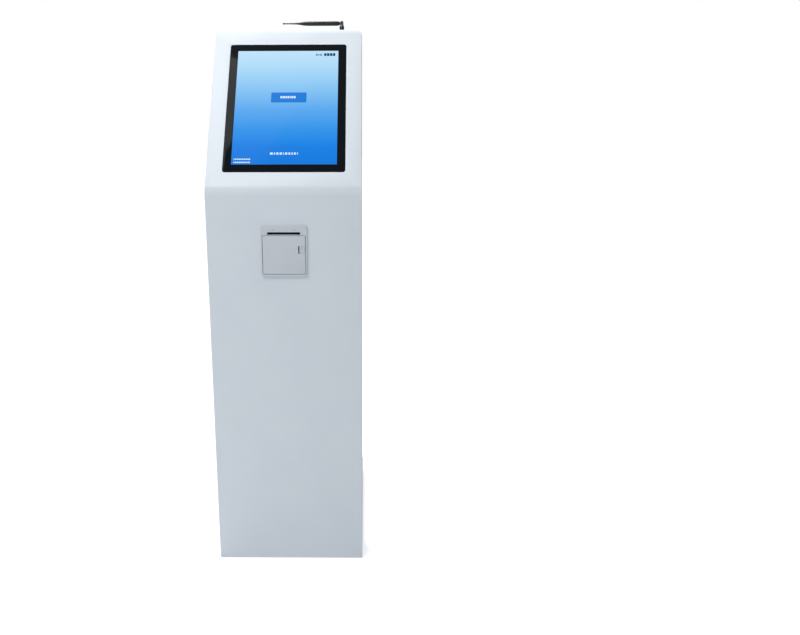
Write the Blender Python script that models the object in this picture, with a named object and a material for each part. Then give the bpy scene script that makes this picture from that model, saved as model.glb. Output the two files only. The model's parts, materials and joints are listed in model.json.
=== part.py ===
"""Queue-ticket kiosk: a slim folded sheet-steel column with a tilted touch-screen head.

Metres, +Z up. The origin is on the floor at the middle of the base, and the customer stands at -Y.
Pieces are drawn in one of two frames: the cabinet's (x across, y back from the front sheet, z up from
the floor) and the head's (x across, y in from the glass side, z up along the slope from the bend).
"""

import math

import bmesh
import bpy
from mathutils import Matrix, Vector

# ---------------------------------------------------------------- driving sizes
WIDTH = 0.400
COLUMN_DEPTH = 0.096
BEND_HEIGHT = 1.040
HEAD_LENGTH = 0.480
HEAD_THICKNESS = 0.050
HEAD_TILT = math.radians(30)
HEAD_TOP_RADIUS = 0.018
NOTCH_ALONG_HEAD = 0.008
LEDGE_BELOW_BEND = 0.050
BASE_DEPTH = 0.494
BASE_HEIGHT = 0.056
BASE_CORNER_RADIUS = 0.030
SHEET = 0.0015
BASE_PLATE = 0.003
ANCHOR_HOLE_RADIUS = 0.0055
ANCHOR_INSET = 0.045

GAP = 0.0003           # between pieces that touch
SEAM = 0.0015          # round a door
RUNNING = 0.00025      # radial clearance of a turning fit

GLASS_WIDTH = 0.315
GLASS_HEIGHT = 0.380
GLASS_THICKNESS = 0.003
GLASS_ABOVE_BEND = 0.051
GLASS_CORNER = 0.006
GLASS_SEAM = 0.0006
DISPLAY_WIDTH = 0.2965
DISPLAY_HEIGHT = 0.3585
DISPLAY_THICKNESS = 0.012
GLASS_FLANGE = 0.010
COMPUTER_SIZE = (0.190, 0.018, 0.200)
FIN_COUNT = 9
FIN_PITCH = 0.018
FIN_GAP = 0.006
FIN_DEPTH = 0.006
FIN_END = 0.012

DOOR_FRAME_ROOM = 0.0005
HEAD_DOOR_BOTTOM = 0.016
HEAD_HEADER = 0.022
COLUMN_DOOR_SIDE = 0.018
COLUMN_DOOR_BOTTOM = 0.136
LEDGE_LIP = 0.016
DOOR_FLANGE = 0.008
DOOR_FLANGE_INSET = 0.032
STOP_DEPTH = 0.0033
STOP_LIP = 0.0055
PIVOT_INSET = 0.0030
PIVOT_PIN_RADIUS = 0.0011
PIVOT_EAR = 0.006

LOUVRE_WIDTH = 0.062
LOUVRE_SLOT = 0.004
LOUVRE_PITCH = 0.018
LOUVRE_ROWS = 5
LOUVRE_OFFSET = 0.076
COLUMN_LOUVRE_HEIGHTS = (0.225, 0.373, 0.671, 0.820)
HEAD_LOUVRE_HEIGHTS = (0.128, 0.355)

LOCK_FROM_DOOR_EDGE = 0.017
COLUMN_LOCK_HEIGHT = 0.547
HEAD_LOCK_HEIGHT = 0.246
LOCK_BODY_RADIUS = 0.0075
LOCK_RIM_RADIUS = 0.0105
LOCK_RIM = 0.0025
LOCK_BODY_DEPTH = 0.0085
LOCK_NUT_RADIUS = 0.0110
LOCK_NUT = 0.003
LOCK_PLUG_RADIUS = 0.0055
CAM_THICKNESS = 0.002
CAM_WIDTH = 0.012
KEY_THICKNESS = 0.0020
KEY_BLADE = 0.007
KEY_STEM = 0.009
BOW_RADIUS = 0.0115
BOW_HOLE_RADIUS = 0.0042
BOW_STRIP = 0.0028
RING_RADIUS = 0.0085
RING_WIRE = 0.0008
RING_SLACK = 0.0030

CABLE_OPENING_WIDTH = 0.214
CABLE_OPENING_HEIGHT = 0.052
CABLE_OPENING_OFFSET = 0.007
CABLE_OPENING_ABOVE_DECK = 0.004
INLET_WIDTH = 0.028
INLET_HEIGHT = 0.021
INLET_DEPTH = 0.014
SWITCH_WIDTH = 0.014
SWITCH_HEIGHT = 0.020
SWITCH_PROUD = 0.003
SWITCH_PIVOT_DEPTH = 0.006
CONNECTOR_PLATE_THICKNESS = 0.002
CONNECTOR_PLATE_INSET = 0.020
CONNECTOR_PLATE_MARGIN = 0.006
INLET_FROM_EDGE = 0.045
SWITCH_FROM_EDGE = 0.078
INLET_PROUD = 0.0015
INLET_SOCKET = (0.023, 0.016)
INLET_FLOOR = 0.002
INLET_BLADE = (0.002, 0.004)
INLET_BLADE_SPREAD = 0.007
INLET_BLADE_DROP = 0.002
INLET_EARTH_RISE = 0.003

BEZEL_WIDTH = 0.120
BEZEL_HEIGHT = 0.138
BEZEL_BOTTOM = 0.815
BEZEL_PROUD = 0.004
BEZEL_CORNER = 0.008
COVER_WIDTH = 0.110
COVER_HEIGHT = 0.100
COVER_GAP = 0.0012
COVER_LIP = 0.009
COVER_BELOW_SLOT = 0.0015
COVER_ABOVE_EDGE = 0.0035
BEZEL_BACK = 0.006
BEZEL_EDGE = 0.001
SLEEVE_INSET_X = 0.0025
SLEEVE_INSET_Z = 0.0045
PLASTIC_WALL = 0.002
PLASTIC_CORNER = 0.0005
COVER_PIN_RADIUS = 0.0009
COVER_PIN_DEPTH = 0.0025
COVER_PIN_REACH = 0.0025
LATCH_WIDTH = 0.013
LATCH_HEIGHT = 0.019
LATCH_FROM_EDGE = 0.0025
LATCH_ABOVE_COVER = 0.054
LATCH_TRAVEL = 0.0025
LATCH_THICKNESS = 0.006
LATCH_POCKET = 0.004
TICKET_SLOT_WIDTH = 0.085
TICKET_SLOT_HEIGHT = 0.007
PRINTER_DEPTH = 0.086
ROLL_RADIUS = 0.034
ROLL_CORE_RADIUS = 0.0065
TICKET_WIDTH = 0.080
PLATEN_RADIUS = 0.0065
PLATEN_DEPTH = 0.016
PAPER_SLACK = 0.0005
ROLL_FRONT_ROOM = 0.005
ROLL_FLOOR_ROOM = 0.003
AXLE_RADIUS = 0.0025
GEAR_MODULE = 0.0008
GEAR_WIDTH = 0.004
GEAR_CLEARANCE = 0.0003
PLATEN_TEETH = 24
PINION_TEETH = 18
MOTOR_RADIUS = 0.010
MOTOR_LENGTH = 0.020
MOTOR_SHAFT_RADIUS = 0.001
MOTOR_SHAFT_LENGTH = 0.010
MOTOR_FROM_GEAR = 0.005
PRINT_HEAD_DEPTH = 0.018
PRINT_HEAD_HEIGHT = 0.006

SPEAKER_CENTRE = (0.0495, 0.7455)
SPEAKER_COLUMN_PITCH = 0.0052
SPEAKER_ROW_PITCH = 0.010
SPEAKER_HOLE_RADIUS = 0.0020
SPEAKER_COLUMNS = (5, 6, 7, 6, 7, 6, 5)
SPEAKER_FLANGE = (0.048, 0.080)
SPEAKER_FLANGE_THICKNESS = 0.004
SPEAKER_CONE_RADIUS = 0.022
SPEAKER_MAGNET_RADIUS = 0.016
SPEAKER_CONE_DEPTH = 0.010
SPEAKER_DEPTH = 0.022

FAN_SIZE = 0.060
FAN_DEPTH = 0.015
FAN_CORNER = 0.004
FAN_WALL = 0.002
FAN_WEB = 0.003
FAN_HUB_RADIUS = 0.014
FAN_BLADES = 7
FAN_BLADE_CHORD = 0.007
FAN_BLADE_THICKNESS = 0.0012
FAN_BLADE_ANGLE = math.radians(40)
FAN_END_GAP = 0.001
SUPPLY_SIZE = (0.160, 0.042, 0.098)
SUPPLY_BOTTOM = 0.250

ANTENNA_OFFSET = 0.1435
ANTENNA_DEPTH = 0.026
ANTENNA_STEM = 0.038
WHIP_LENGTH = 0.166
WHIP_RADIUS = 0.0062
WHIP_TIP_RADIUS = 0.0022
WHIP_TAPER = 0.012
WHIP_GRIP_END = 0.099
WHIP_START = 0.0060
CONNECTOR_RADIUS = 0.0030
CONNECTOR_COLLAR_RADIUS = 0.0045
CONNECTOR_INSIDE = 0.006
CONNECTOR_TOP = 0.005
KNUCKLE_RADIUS = 0.0065
KNUCKLE_HEIGHT = 0.023
KNUCKLE_EAR_RADIUS = 0.0045
KNUCKLE_EAR_OUTER = 0.0055
KNUCKLE_EAR_INNER = 0.0023
TONGUE_HALF = 0.0020

# ---------------------------------------------------------------- sizes that follow
FRONT_Y = -BASE_DEPTH / 2
INNER_HALF = WIDTH / 2 - SHEET - GAP
GLASS_MIDDLE = GLASS_ABOVE_BEND + GLASS_HEIGHT / 2
LEDGE_HEIGHT = BEND_HEIGHT - LEDGE_BELOW_BEND
HEAD_DOOR_WIDTH = WIDTH - 2 * (2 * SHEET + SEAM + DOOR_FRAME_ROOM)
COLUMN_DOOR_WIDTH = WIDTH - 2 * COLUMN_DOOR_SIDE
HEAD_LOCK_OFFSET = HEAD_DOOR_WIDTH / 2 - LOCK_FROM_DOOR_EDGE
COLUMN_LOCK_OFFSET = COLUMN_DOOR_WIDTH / 2 - LOCK_FROM_DOOR_EDGE
HEAD_DOOR_TOP = HEAD_LENGTH - HEAD_HEADER
COLUMN_DOOR_TOP = LEDGE_HEIGHT - LEDGE_LIP
CABLE_OPENING_BOTTOM = BASE_HEIGHT + CABLE_OPENING_ABOVE_DECK
COVER_BOTTOM = BEZEL_BOTTOM + (BEZEL_WIDTH - COVER_WIDTH) / 2 + COVER_ABOVE_EDGE
COVER_TOP = COVER_BOTTOM + COVER_HEIGHT
TICKET_SLOT_MIDDLE = COVER_TOP + COVER_GAP + COVER_BELOW_SLOT + TICKET_SLOT_HEIGHT / 2

for old in list(bpy.data.objects):
    bpy.data.objects.remove(old)


# ---------------------------------------------------------------- frames and finishes
def empty_frame(name, location, tilt=0.0):
    frame = bpy.data.objects.new(name, None)
    frame.location = location
    frame.rotation_euler.x = tilt
    bpy.context.collection.objects.link(frame)
    return frame


CABINET = empty_frame("cabinet_frame", (0, FRONT_Y, 0))
HEAD = empty_frame("head_frame", (0, FRONT_Y, BEND_HEIGHT), -HEAD_TILT)

FINISHES = {
    "white_powder_coat": ((0.86, 0.89, 0.92), 0.45, 0.0),
    "black_plastic": ((0.02, 0.02, 0.022), 0.45, 0.0),
    "white_plastic": ((0.80, 0.84, 0.88), 0.35, 0.0),
    "black_glass": ((0.01, 0.012, 0.016), 0.05, 0.0),
    "display": ((0.12, 0.42, 0.85), 0.25, 0.0),
    "bright_zinc": ((0.62, 0.64, 0.66), 0.35, 1.0),
    "nickel": ((0.55, 0.54, 0.50), 0.25, 1.0),
    "green_board": ((0.03, 0.18, 0.08), 0.5, 0.0),
    "soft_rubber": ((0.03, 0.03, 0.03), 0.8, 0.0),
    "paper": ((0.88, 0.87, 0.83), 0.9, 0.0),
}


def finish(name, bm, finish_name, frame=CABINET, pivot=(0, 0, 0), smooth=False):
    """Turns a bmesh drawn in a frame into an object whose origin is the pivot."""
    bmesh.ops.remove_doubles(bm, verts=bm.verts, dist=1e-7)
    bmesh.ops.recalc_face_normals(bm, faces=bm.faces)
    bmesh.ops.translate(bm, verts=bm.verts, vec=-Vector(pivot))
    mesh = bpy.data.meshes.new(name)
    bm.to_mesh(mesh)
    bm.free()
    if smooth:
        mesh.shade_smooth()
        mesh.set_sharp_from_angle(angle=math.radians(40))
    colour, roughness, metallic = FINISHES[finish_name]
    material = bpy.data.materials.new(name + "_" + finish_name)
    material.use_nodes = True
    shader = material.node_tree.nodes["Principled BSDF"]
    shader.inputs["Base Color"].default_value = (*colour, 1)
    shader.inputs["Roughness"].default_value = roughness
    shader.inputs["Metallic"].default_value = metallic
    mesh.materials.append(material)
    obj = bpy.data.objects.new(name, mesh)
    obj.parent = frame
    obj.location = pivot
    bpy.context.collection.objects.link(obj)
    return obj


# ---------------------------------------------------------------- shapes
def add_block(bm, low, high):
    size = [b - a for a, b in zip(low, high)]
    middle = [(a + b) / 2 for a, b in zip(low, high)]
    matrix = Matrix.Translation(middle) @ Matrix.Diagonal((*size, 1))
    return bmesh.ops.create_cube(bm, size=1, matrix=matrix)["verts"]


def block(low, high):
    bm = bmesh.new()
    add_block(bm, low, high)
    return bm


AXIS_TURN = {
    "x": Matrix.Rotation(math.pi / 2, 4, "Y"),
    "y": Matrix.Rotation(-math.pi / 2, 4, "X"),
    "z": Matrix.Identity(4),
}


def add_rod(bm, axis, start, radius, length, sides=20, end_radius=None):
    """A round rod or cone from start along +axis."""
    turn = AXIS_TURN[axis]
    matrix = Matrix.Translation(start) @ turn @ Matrix.Translation((0, 0, length / 2))
    tip = radius if end_radius is None else end_radius
    made = bmesh.ops.create_cone(bm, cap_ends=True, segments=sides, radius1=radius,
                                 radius2=tip, depth=length, matrix=matrix)
    return made["verts"]


def rod(axis, start, radius, length, sides=20):
    bm = bmesh.new()
    add_rod(bm, axis, start, radius, length, sides)
    return bm


def turned(axis, start, outline, sides=20):
    """A turned piece: outline is a list of (radius, distance along the axis)."""
    bm = bmesh.new()
    matrix = Matrix.Translation(start) @ AXIS_TURN[axis]
    verts = [bm.verts.new((radius, 0, along)) for radius, along in outline]
    edges = [bm.edges.new(pair) for pair in zip(verts, verts[1:])]
    if outline[0][0] > 0 and outline[-1][0] > 0:
        edges.append(bm.edges.new((verts[-1], verts[0])))
    bmesh.ops.spin(bm, geom=verts + edges, cent=(0, 0, 0), axis=(0, 0, 1),
                   angle=2 * math.pi, steps=sides, use_merge=True)
    bmesh.ops.remove_doubles(bm, verts=bm.verts, dist=1e-7)
    bmesh.ops.transform(bm, verts=bm.verts, matrix=matrix)
    return bm


def rounded_loop(bm, rect, radius, depth, corner_steps):
    """Vertices of a rounded rectangle (x0, x1, z0, z1) in the plane y = depth."""
    x0, x1, z0, z1 = rect
    corners = ((x1, z1, 0), (x0, z1, 90), (x0, z0, 180), (x1, z0, 270))
    verts = []
    for x, z, start in corners:
        for step in range(corner_steps + 1):
            turn = math.radians(start + 90 * step / max(corner_steps, 1))
            inward_x = radius * (math.cos(turn) - (1 if x == x1 else -1))
            inward_z = radius * (math.sin(turn) - (1 if z == z1 else -1))
            if corner_steps == 0:
                inward_x = inward_z = 0
            verts.append(bm.verts.new((x + inward_x, depth, z + inward_z)))
    return verts


def skin(bm, loops, closed):
    count = len(loops[0])
    pairs = list(zip(loops, loops[1:])) + ([(loops[-1], loops[0])] if closed else [])
    for a, b in pairs:
        for i in range(count):
            j = (i + 1) % count
            bm.faces.new((a[i], a[j], b[j], b[i]))
    if not closed:
        bm.faces.new(loops[0])
        bm.faces.new(reversed(loops[-1]))


def ring_through(sections, corner_steps=0):
    """A closed ring of rounded rectangles, each (rect, radius, depth)."""
    bm = bmesh.new()
    skin(bm, [rounded_loop(bm, *section, corner_steps) for section in sections], True)
    return bm


def solid_through(sections, corner_steps=0):
    """A capped solid of rounded rectangles, each (rect, radius, depth)."""
    bm = bmesh.new()
    skin(bm, [rounded_loop(bm, *section, corner_steps) for section in sections], False)
    return bm


def grown(rect, by):
    x0, x1, z0, z1 = rect
    return (x0 - by, x1 + by, z0 - by, z1 + by)


def prism(points, axis, low, high):
    """Extrudes an outline: axis x takes (y, z) points, axis y takes (x, z), axis z takes (x, y)."""
    place = {"x": lambda p: (low, *p), "y": lambda p: (p[0], low, p[1]), "z": lambda p: (*p, low)}
    shift = {"x": (high - low, 0, 0), "y": (0, high - low, 0), "z": (0, 0, high - low)}
    bm = bmesh.new()
    face = bm.faces.new([bm.verts.new(place[axis](p)) for p in points])
    made = bmesh.ops.extrude_face_region(bm, geom=[face])
    top = [v for v in made["geom"] if isinstance(v, bmesh.types.BMVert)]
    bmesh.ops.translate(bm, verts=top, vec=shift[axis])
    return bm


def arc(centre, radius, start, end, steps):
    """Points of an arc, in degrees, both ends included."""
    angles = [math.radians(start + (end - start) * i / steps) for i in range(steps + 1)]
    return [(centre[0] + radius * math.cos(a), centre[1] + radius * math.sin(a)) for a in angles]


def boolean(target, bm, operation, frame=CABINET):
    """Cuts a bmesh from the target, or joins it on; the tool stays as a hidden wire object."""
    tool = finish(target.name + "_tool", bm, "black_plastic", frame)
    tool.hide_render = True
    tool.display_type = "WIRE"
    modifier = target.modifiers.new(operation.lower(), "BOOLEAN")
    modifier.operation = operation
    modifier.solver = "EXACT"
    modifier.use_self = operation == "UNION"
    modifier.object = tool
    return target


def head_point(along, depth):
    """The cabinet-frame (y, z) of a point of the head."""
    sine, cosine = math.sin(HEAD_TILT), math.cos(HEAD_TILT)
    return (along * sine + depth * cosine, BEND_HEIGHT + along * cosine - depth * sine)


NOTCH = head_point(NOTCH_ALONG_HEAD, HEAD_THICKNESS)
LEDGE_CORNER = (COLUMN_DEPTH, LEDGE_HEIGHT)


# ---------------------------------------------------------------- housing
def side_plate(name, outer_x, sign):
    """One flat side sheet whose outline runs through base, column and head."""
    top = HEAD_LENGTH - HEAD_TOP_RADIUS - GAP
    rear = BASE_DEPTH - BASE_CORNER_RADIUS - GAP
    outline = [(0, 0), (0, BEND_HEIGHT), head_point(top, 0), head_point(top, HEAD_THICKNESS), NOTCH,
               LEDGE_CORNER, (COLUMN_DEPTH, BASE_HEIGHT), (rear, BASE_HEIGHT), (rear, 0)]
    low, high = sorted((outer_x, outer_x - sign * SHEET))
    return finish(name, prism(outline, "x", low, high), "white_powder_coat")


def speaker_holes():
    holes = bmesh.new()
    for column, count in enumerate(SPEAKER_COLUMNS):
        y = SPEAKER_CENTRE[0] + (column - len(SPEAKER_COLUMNS) // 2) * SPEAKER_COLUMN_PITCH
        for row in range(count):
            z = SPEAKER_CENTRE[1] + (row - (count - 1) / 2) * SPEAKER_ROW_PITCH
            add_rod(holes, "x", (-WIDTH / 2 - SHEET, y, z), SPEAKER_HOLE_RADIUS, 3 * SHEET, 8)
    return holes


left_side = side_plate("left_side_plate", -WIDTH / 2, -1)
boolean(left_side, speaker_holes(), "DIFFERENCE")
side_plate("right_side_plate", WIDTH / 2, 1)

glass_rect = (-GLASS_WIDTH / 2, GLASS_WIDTH / 2, GLASS_ABOVE_BEND, GLASS_ABOVE_BEND + GLASS_HEIGHT)
bezel_rect = (-BEZEL_WIDTH / 2, BEZEL_WIDTH / 2, BEZEL_BOTTOM, BEZEL_BOTTOM + BEZEL_HEIGHT)
cover_rect = (-COVER_WIDTH / 2, COVER_WIDTH / 2, COVER_BOTTOM, COVER_TOP)
sleeve_rect = (bezel_rect[0] + SLEEVE_INSET_X, bezel_rect[1] - SLEEVE_INSET_X,
               bezel_rect[2] + SLEEVE_INSET_Z, bezel_rect[3] - SLEEVE_INSET_Z)
fascia_end = HEAD_LENGTH - SHEET - GAP
half_tilt = math.tan(HEAD_TILT / 2) * SHEET
front_outline = [(0, 0), (0, BEND_HEIGHT), head_point(fascia_end, 0), head_point(fascia_end, SHEET),
                 (SHEET, BEND_HEIGHT - half_tilt), (SHEET, 0)]
front_sheet = finish("front_sheet", prism(front_outline, "x", -INNER_HALF, INNER_HALF),
                     "white_powder_coat")
glass_window = solid_through([(grown(glass_rect, GLASS_SEAM), GLASS_CORNER + GLASS_SEAM, depth)
                              for depth in (-SHEET, 2 * SHEET)], 4)
boolean(front_sheet, glass_window, "DIFFERENCE", HEAD)
printer_window = block((sleeve_rect[0] - GAP, -SHEET, sleeve_rect[2] - GAP),
                       (sleeve_rect[1] + GAP, 2 * SHEET, sleeve_rect[3] + GAP))
boolean(front_sheet, printer_window, "DIFFERENCE")
corner_steps = 6
inner_radius = HEAD_TOP_RADIUS - SHEET - GAP
for side in (-1, 1):
    middle = (side * (WIDTH / 2 - HEAD_TOP_RADIUS), HEAD_LENGTH - HEAD_TOP_RADIUS)
    turn = (0, 90) if side > 0 else (180, 90)
    cut = arc(middle, inner_radius, *turn, corner_steps)
    cut += [(middle[0], HEAD_LENGTH + SHEET), (side * (WIDTH / 2 + SHEET), HEAD_LENGTH + SHEET),
            (side * (WIDTH / 2 + SHEET), middle[1])]
    boolean(front_sheet, prism(cut, "y", -SHEET, 2 * SHEET), "DIFFERENCE", HEAD)


def wrap_outline(half, end, radius, inset):
    """An arc, a straight and an arc round two corners of a sheet, inset from the outside."""
    right = (half - radius, end - radius)
    left = (-half + radius, end - radius)
    return (arc(right, radius - inset, 0, 90, corner_steps)
            + arc(left, radius - inset, 90, 180, corner_steps))


def wrap_shell(half, end, radius):
    return wrap_outline(half, end, radius, 0) + wrap_outline(half, end, radius, SHEET)[::-1]


top_wrap = finish("head_top_wrap", prism(wrap_shell(WIDTH / 2, HEAD_LENGTH, HEAD_TOP_RADIUS), "y",
                                         0, HEAD_THICKNESS), "white_powder_coat", HEAD)
header = prism(wrap_outline(WIDTH / 2, HEAD_LENGTH, HEAD_TOP_RADIUS, SHEET / 2), "y",
               HEAD_THICKNESS - SHEET, HEAD_THICKNESS)
boolean(top_wrap, header, "UNION", HEAD)
boolean(top_wrap, rod("z", (ANTENNA_OFFSET, ANTENNA_DEPTH, HEAD_LENGTH - 2 * SHEET), CONNECTOR_RADIUS + GAP,
                      4 * SHEET, 16), "DIFFERENCE", HEAD)


def door_frame(name, frame, face, door, outer):
    """Folded frame round a rear door: face flange, reveal and stop lip, open on the hinge side."""
    opening = grown(door, SEAM)
    reveal = grown(opening, SHEET)
    lip = grown(opening, -STOP_LIP)
    stop_back = face - STOP_DEPTH - SHEET
    piece = finish(name, ring_through([
        (outer, 0, face), (outer, 0, face - SHEET), (reveal, 0, face - SHEET), (reveal, 0, stop_back),
        (lip, 0, stop_back), (lip, 0, face - STOP_DEPTH), (opening, 0, face - STOP_DEPTH),
        (opening, 0, face)]), "white_powder_coat", frame)
    hinge_side = block((opening[0], stop_back - SHEET, opening[2]),
                       (lip[0] + 2 * PIVOT_INSET, face - STOP_DEPTH + GAP, opening[3]))
    boolean(piece, hinge_side, "DIFFERENCE", frame)
    for z in (reveal[2] - SHEET, opening[3] - SHEET):
        hole = rod("z", (door[0] + PIVOT_INSET, face - PIVOT_INSET, z), PIVOT_PIN_RADIUS + GAP,
                   4 * SHEET, 12)
        boolean(piece, hole, "DIFFERENCE", frame)
    return piece


head_door_rect = (-HEAD_DOOR_WIDTH / 2, HEAD_DOOR_WIDTH / 2, HEAD_DOOR_BOTTOM, HEAD_DOOR_TOP)
head_frame_rect = (-INNER_HALF, INNER_HALF, HEAD_DOOR_BOTTOM - SEAM - 2 * SHEET,
                   HEAD_LENGTH - HEAD_TOP_RADIUS - 2 * GAP)
door_frame("head_rear_frame", HEAD, HEAD_THICKNESS, head_door_rect, head_frame_rect)
column_door_rect = (-COLUMN_DOOR_WIDTH / 2, COLUMN_DOOR_WIDTH / 2, COLUMN_DOOR_BOTTOM,
                    COLUMN_DOOR_TOP)
column_frame_rect = (-INNER_HALF, INNER_HALF, BASE_HEIGHT + GAP, LEDGE_HEIGHT - 1.5 * SHEET)
column_frame = door_frame("column_rear_frame", CABINET, COLUMN_DEPTH, column_door_rect,
                          column_frame_rect)
cable_rect = (CABLE_OPENING_OFFSET - CABLE_OPENING_WIDTH / 2,
              CABLE_OPENING_OFFSET + CABLE_OPENING_WIDTH / 2,
              CABLE_OPENING_BOTTOM, CABLE_OPENING_BOTTOM + CABLE_OPENING_HEIGHT)
boolean(column_frame, block((cable_rect[0], COLUMN_DEPTH - 2 * SHEET, cable_rect[2]),
                            (cable_rect[1], COLUMN_DEPTH + SHEET, cable_rect[3])), "DIFFERENCE")

ledge_fall = Vector(LEDGE_CORNER) - Vector(NOTCH)
ledge_inward = Vector((ledge_fall.y, -ledge_fall.x)).normalized() * SHEET
ledge_outline = [NOTCH, LEDGE_CORNER, tuple(Vector(LEDGE_CORNER) + ledge_inward),
                 tuple(Vector(NOTCH) + ledge_inward)]
finish("ledge_sheet", prism(ledge_outline, "x", -INNER_HALF, INNER_HALF), "white_powder_coat")

inner_corner = BASE_CORNER_RADIUS
deck_front = COLUMN_DEPTH + GAP
deck_outline = ([(-INNER_HALF, deck_front), (INNER_HALF, deck_front)]
                + wrap_outline(WIDTH / 2, BASE_DEPTH, inner_corner, SHEET + GAP))
finish("base_deck", prism(deck_outline, "z", BASE_HEIGHT - SHEET, BASE_HEIGHT), "white_powder_coat")
plate_outline = ([(-INNER_HALF, SHEET + GAP), (INNER_HALF, SHEET + GAP)]
                 + wrap_outline(WIDTH / 2, BASE_DEPTH, inner_corner, SHEET + GAP))
base_plate = finish("base_bottom_plate", prism(plate_outline, "z", 0, BASE_PLATE), "bright_zinc")
anchor_holes = bmesh.new()
for x in (-1, 1):
    for y in (COLUMN_DEPTH / 2, BASE_DEPTH - ANCHOR_INSET):
        add_rod(anchor_holes, "z", (x * (WIDTH / 2 - ANCHOR_INSET), y, -BASE_PLATE),
                ANCHOR_HOLE_RADIUS, 3 * BASE_PLATE, 16)
boolean(base_plate, anchor_holes, "DIFFERENCE")
finish("base_rear_skirt", prism(wrap_shell(WIDTH / 2, BASE_DEPTH, BASE_CORNER_RADIUS), "z",
                                0, BASE_HEIGHT), "white_powder_coat")


# ---------------------------------------------------------------- rear doors and locks
def rear_door(name, frame, face, door, louvre_heights, lock_x, lock_z):
    """Flat sheet door with a stiffening flange, pivot ears and pressed louvres."""
    hinge_x = door[0] + PIVOT_INSET
    pivot = (hinge_x, face - PIVOT_INSET, 0)
    piece = finish(name, block((door[0], face - SHEET, door[2]), (door[1], face, door[3])),
                   "white_powder_coat", frame, pivot)
    flange = grown(door, -DOOR_FLANGE_INSET)
    wall = grown(flange, -SHEET)
    behind, deep = face - SHEET / 2, face - DOOR_FLANGE
    boolean(piece, ring_through([(flange, 0, behind), (flange, 0, deep), (wall, 0, deep),
                                 (wall, 0, behind)]), "UNION", frame)
    ears = bmesh.new()
    holes = bmesh.new()
    for z in (door[2] + SHEET, door[3] - SHEET - PIVOT_EAR):
        add_block(ears, (door[0] + 2 * GAP, face - 2 * PIVOT_INSET + 2 * GAP, z),
                  (door[0] + 2.5 * PIVOT_INSET, face - SHEET / 2, z + PIVOT_EAR))
        add_rod(holes, "z", (hinge_x, face - PIVOT_INSET, z - SHEET), PIVOT_PIN_RADIUS + RUNNING,
                PIVOT_EAR + 2 * SHEET, 12)
    boolean(piece, ears, "UNION", frame)
    add_rod(holes, "y", (lock_x, face - 2 * SHEET, lock_z), LOCK_BODY_RADIUS + GAP, 4 * SHEET, 20)
    for height in louvre_heights:
        for side in (-1, 1):
            for row in range(LOUVRE_ROWS):
                z = height + (row - (LOUVRE_ROWS - 1) / 2) * LOUVRE_PITCH
                middle = side * LOUVRE_OFFSET
                add_block(holes, (middle - LOUVRE_WIDTH / 2, face - 2 * SHEET, z - LOUVRE_SLOT),
                          (middle + LOUVRE_WIDTH / 2, face + SHEET, z))
    boolean(piece, holes, "DIFFERENCE", frame)
    for label, z in (("lower", door[2] - SEAM - SHEET), ("upper", door[3] - SHEET - PIVOT_EAR)):
        length = PIVOT_EAR + 3 * SHEET + SEAM - 2 * GAP
        finish(name + "_" + label + "_pivot_pin",
               rod("z", (hinge_x, face - PIVOT_INSET, z), PIVOT_PIN_RADIUS, length, 12),
               "bright_zinc", frame, smooth=True)
    return piece


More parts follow.
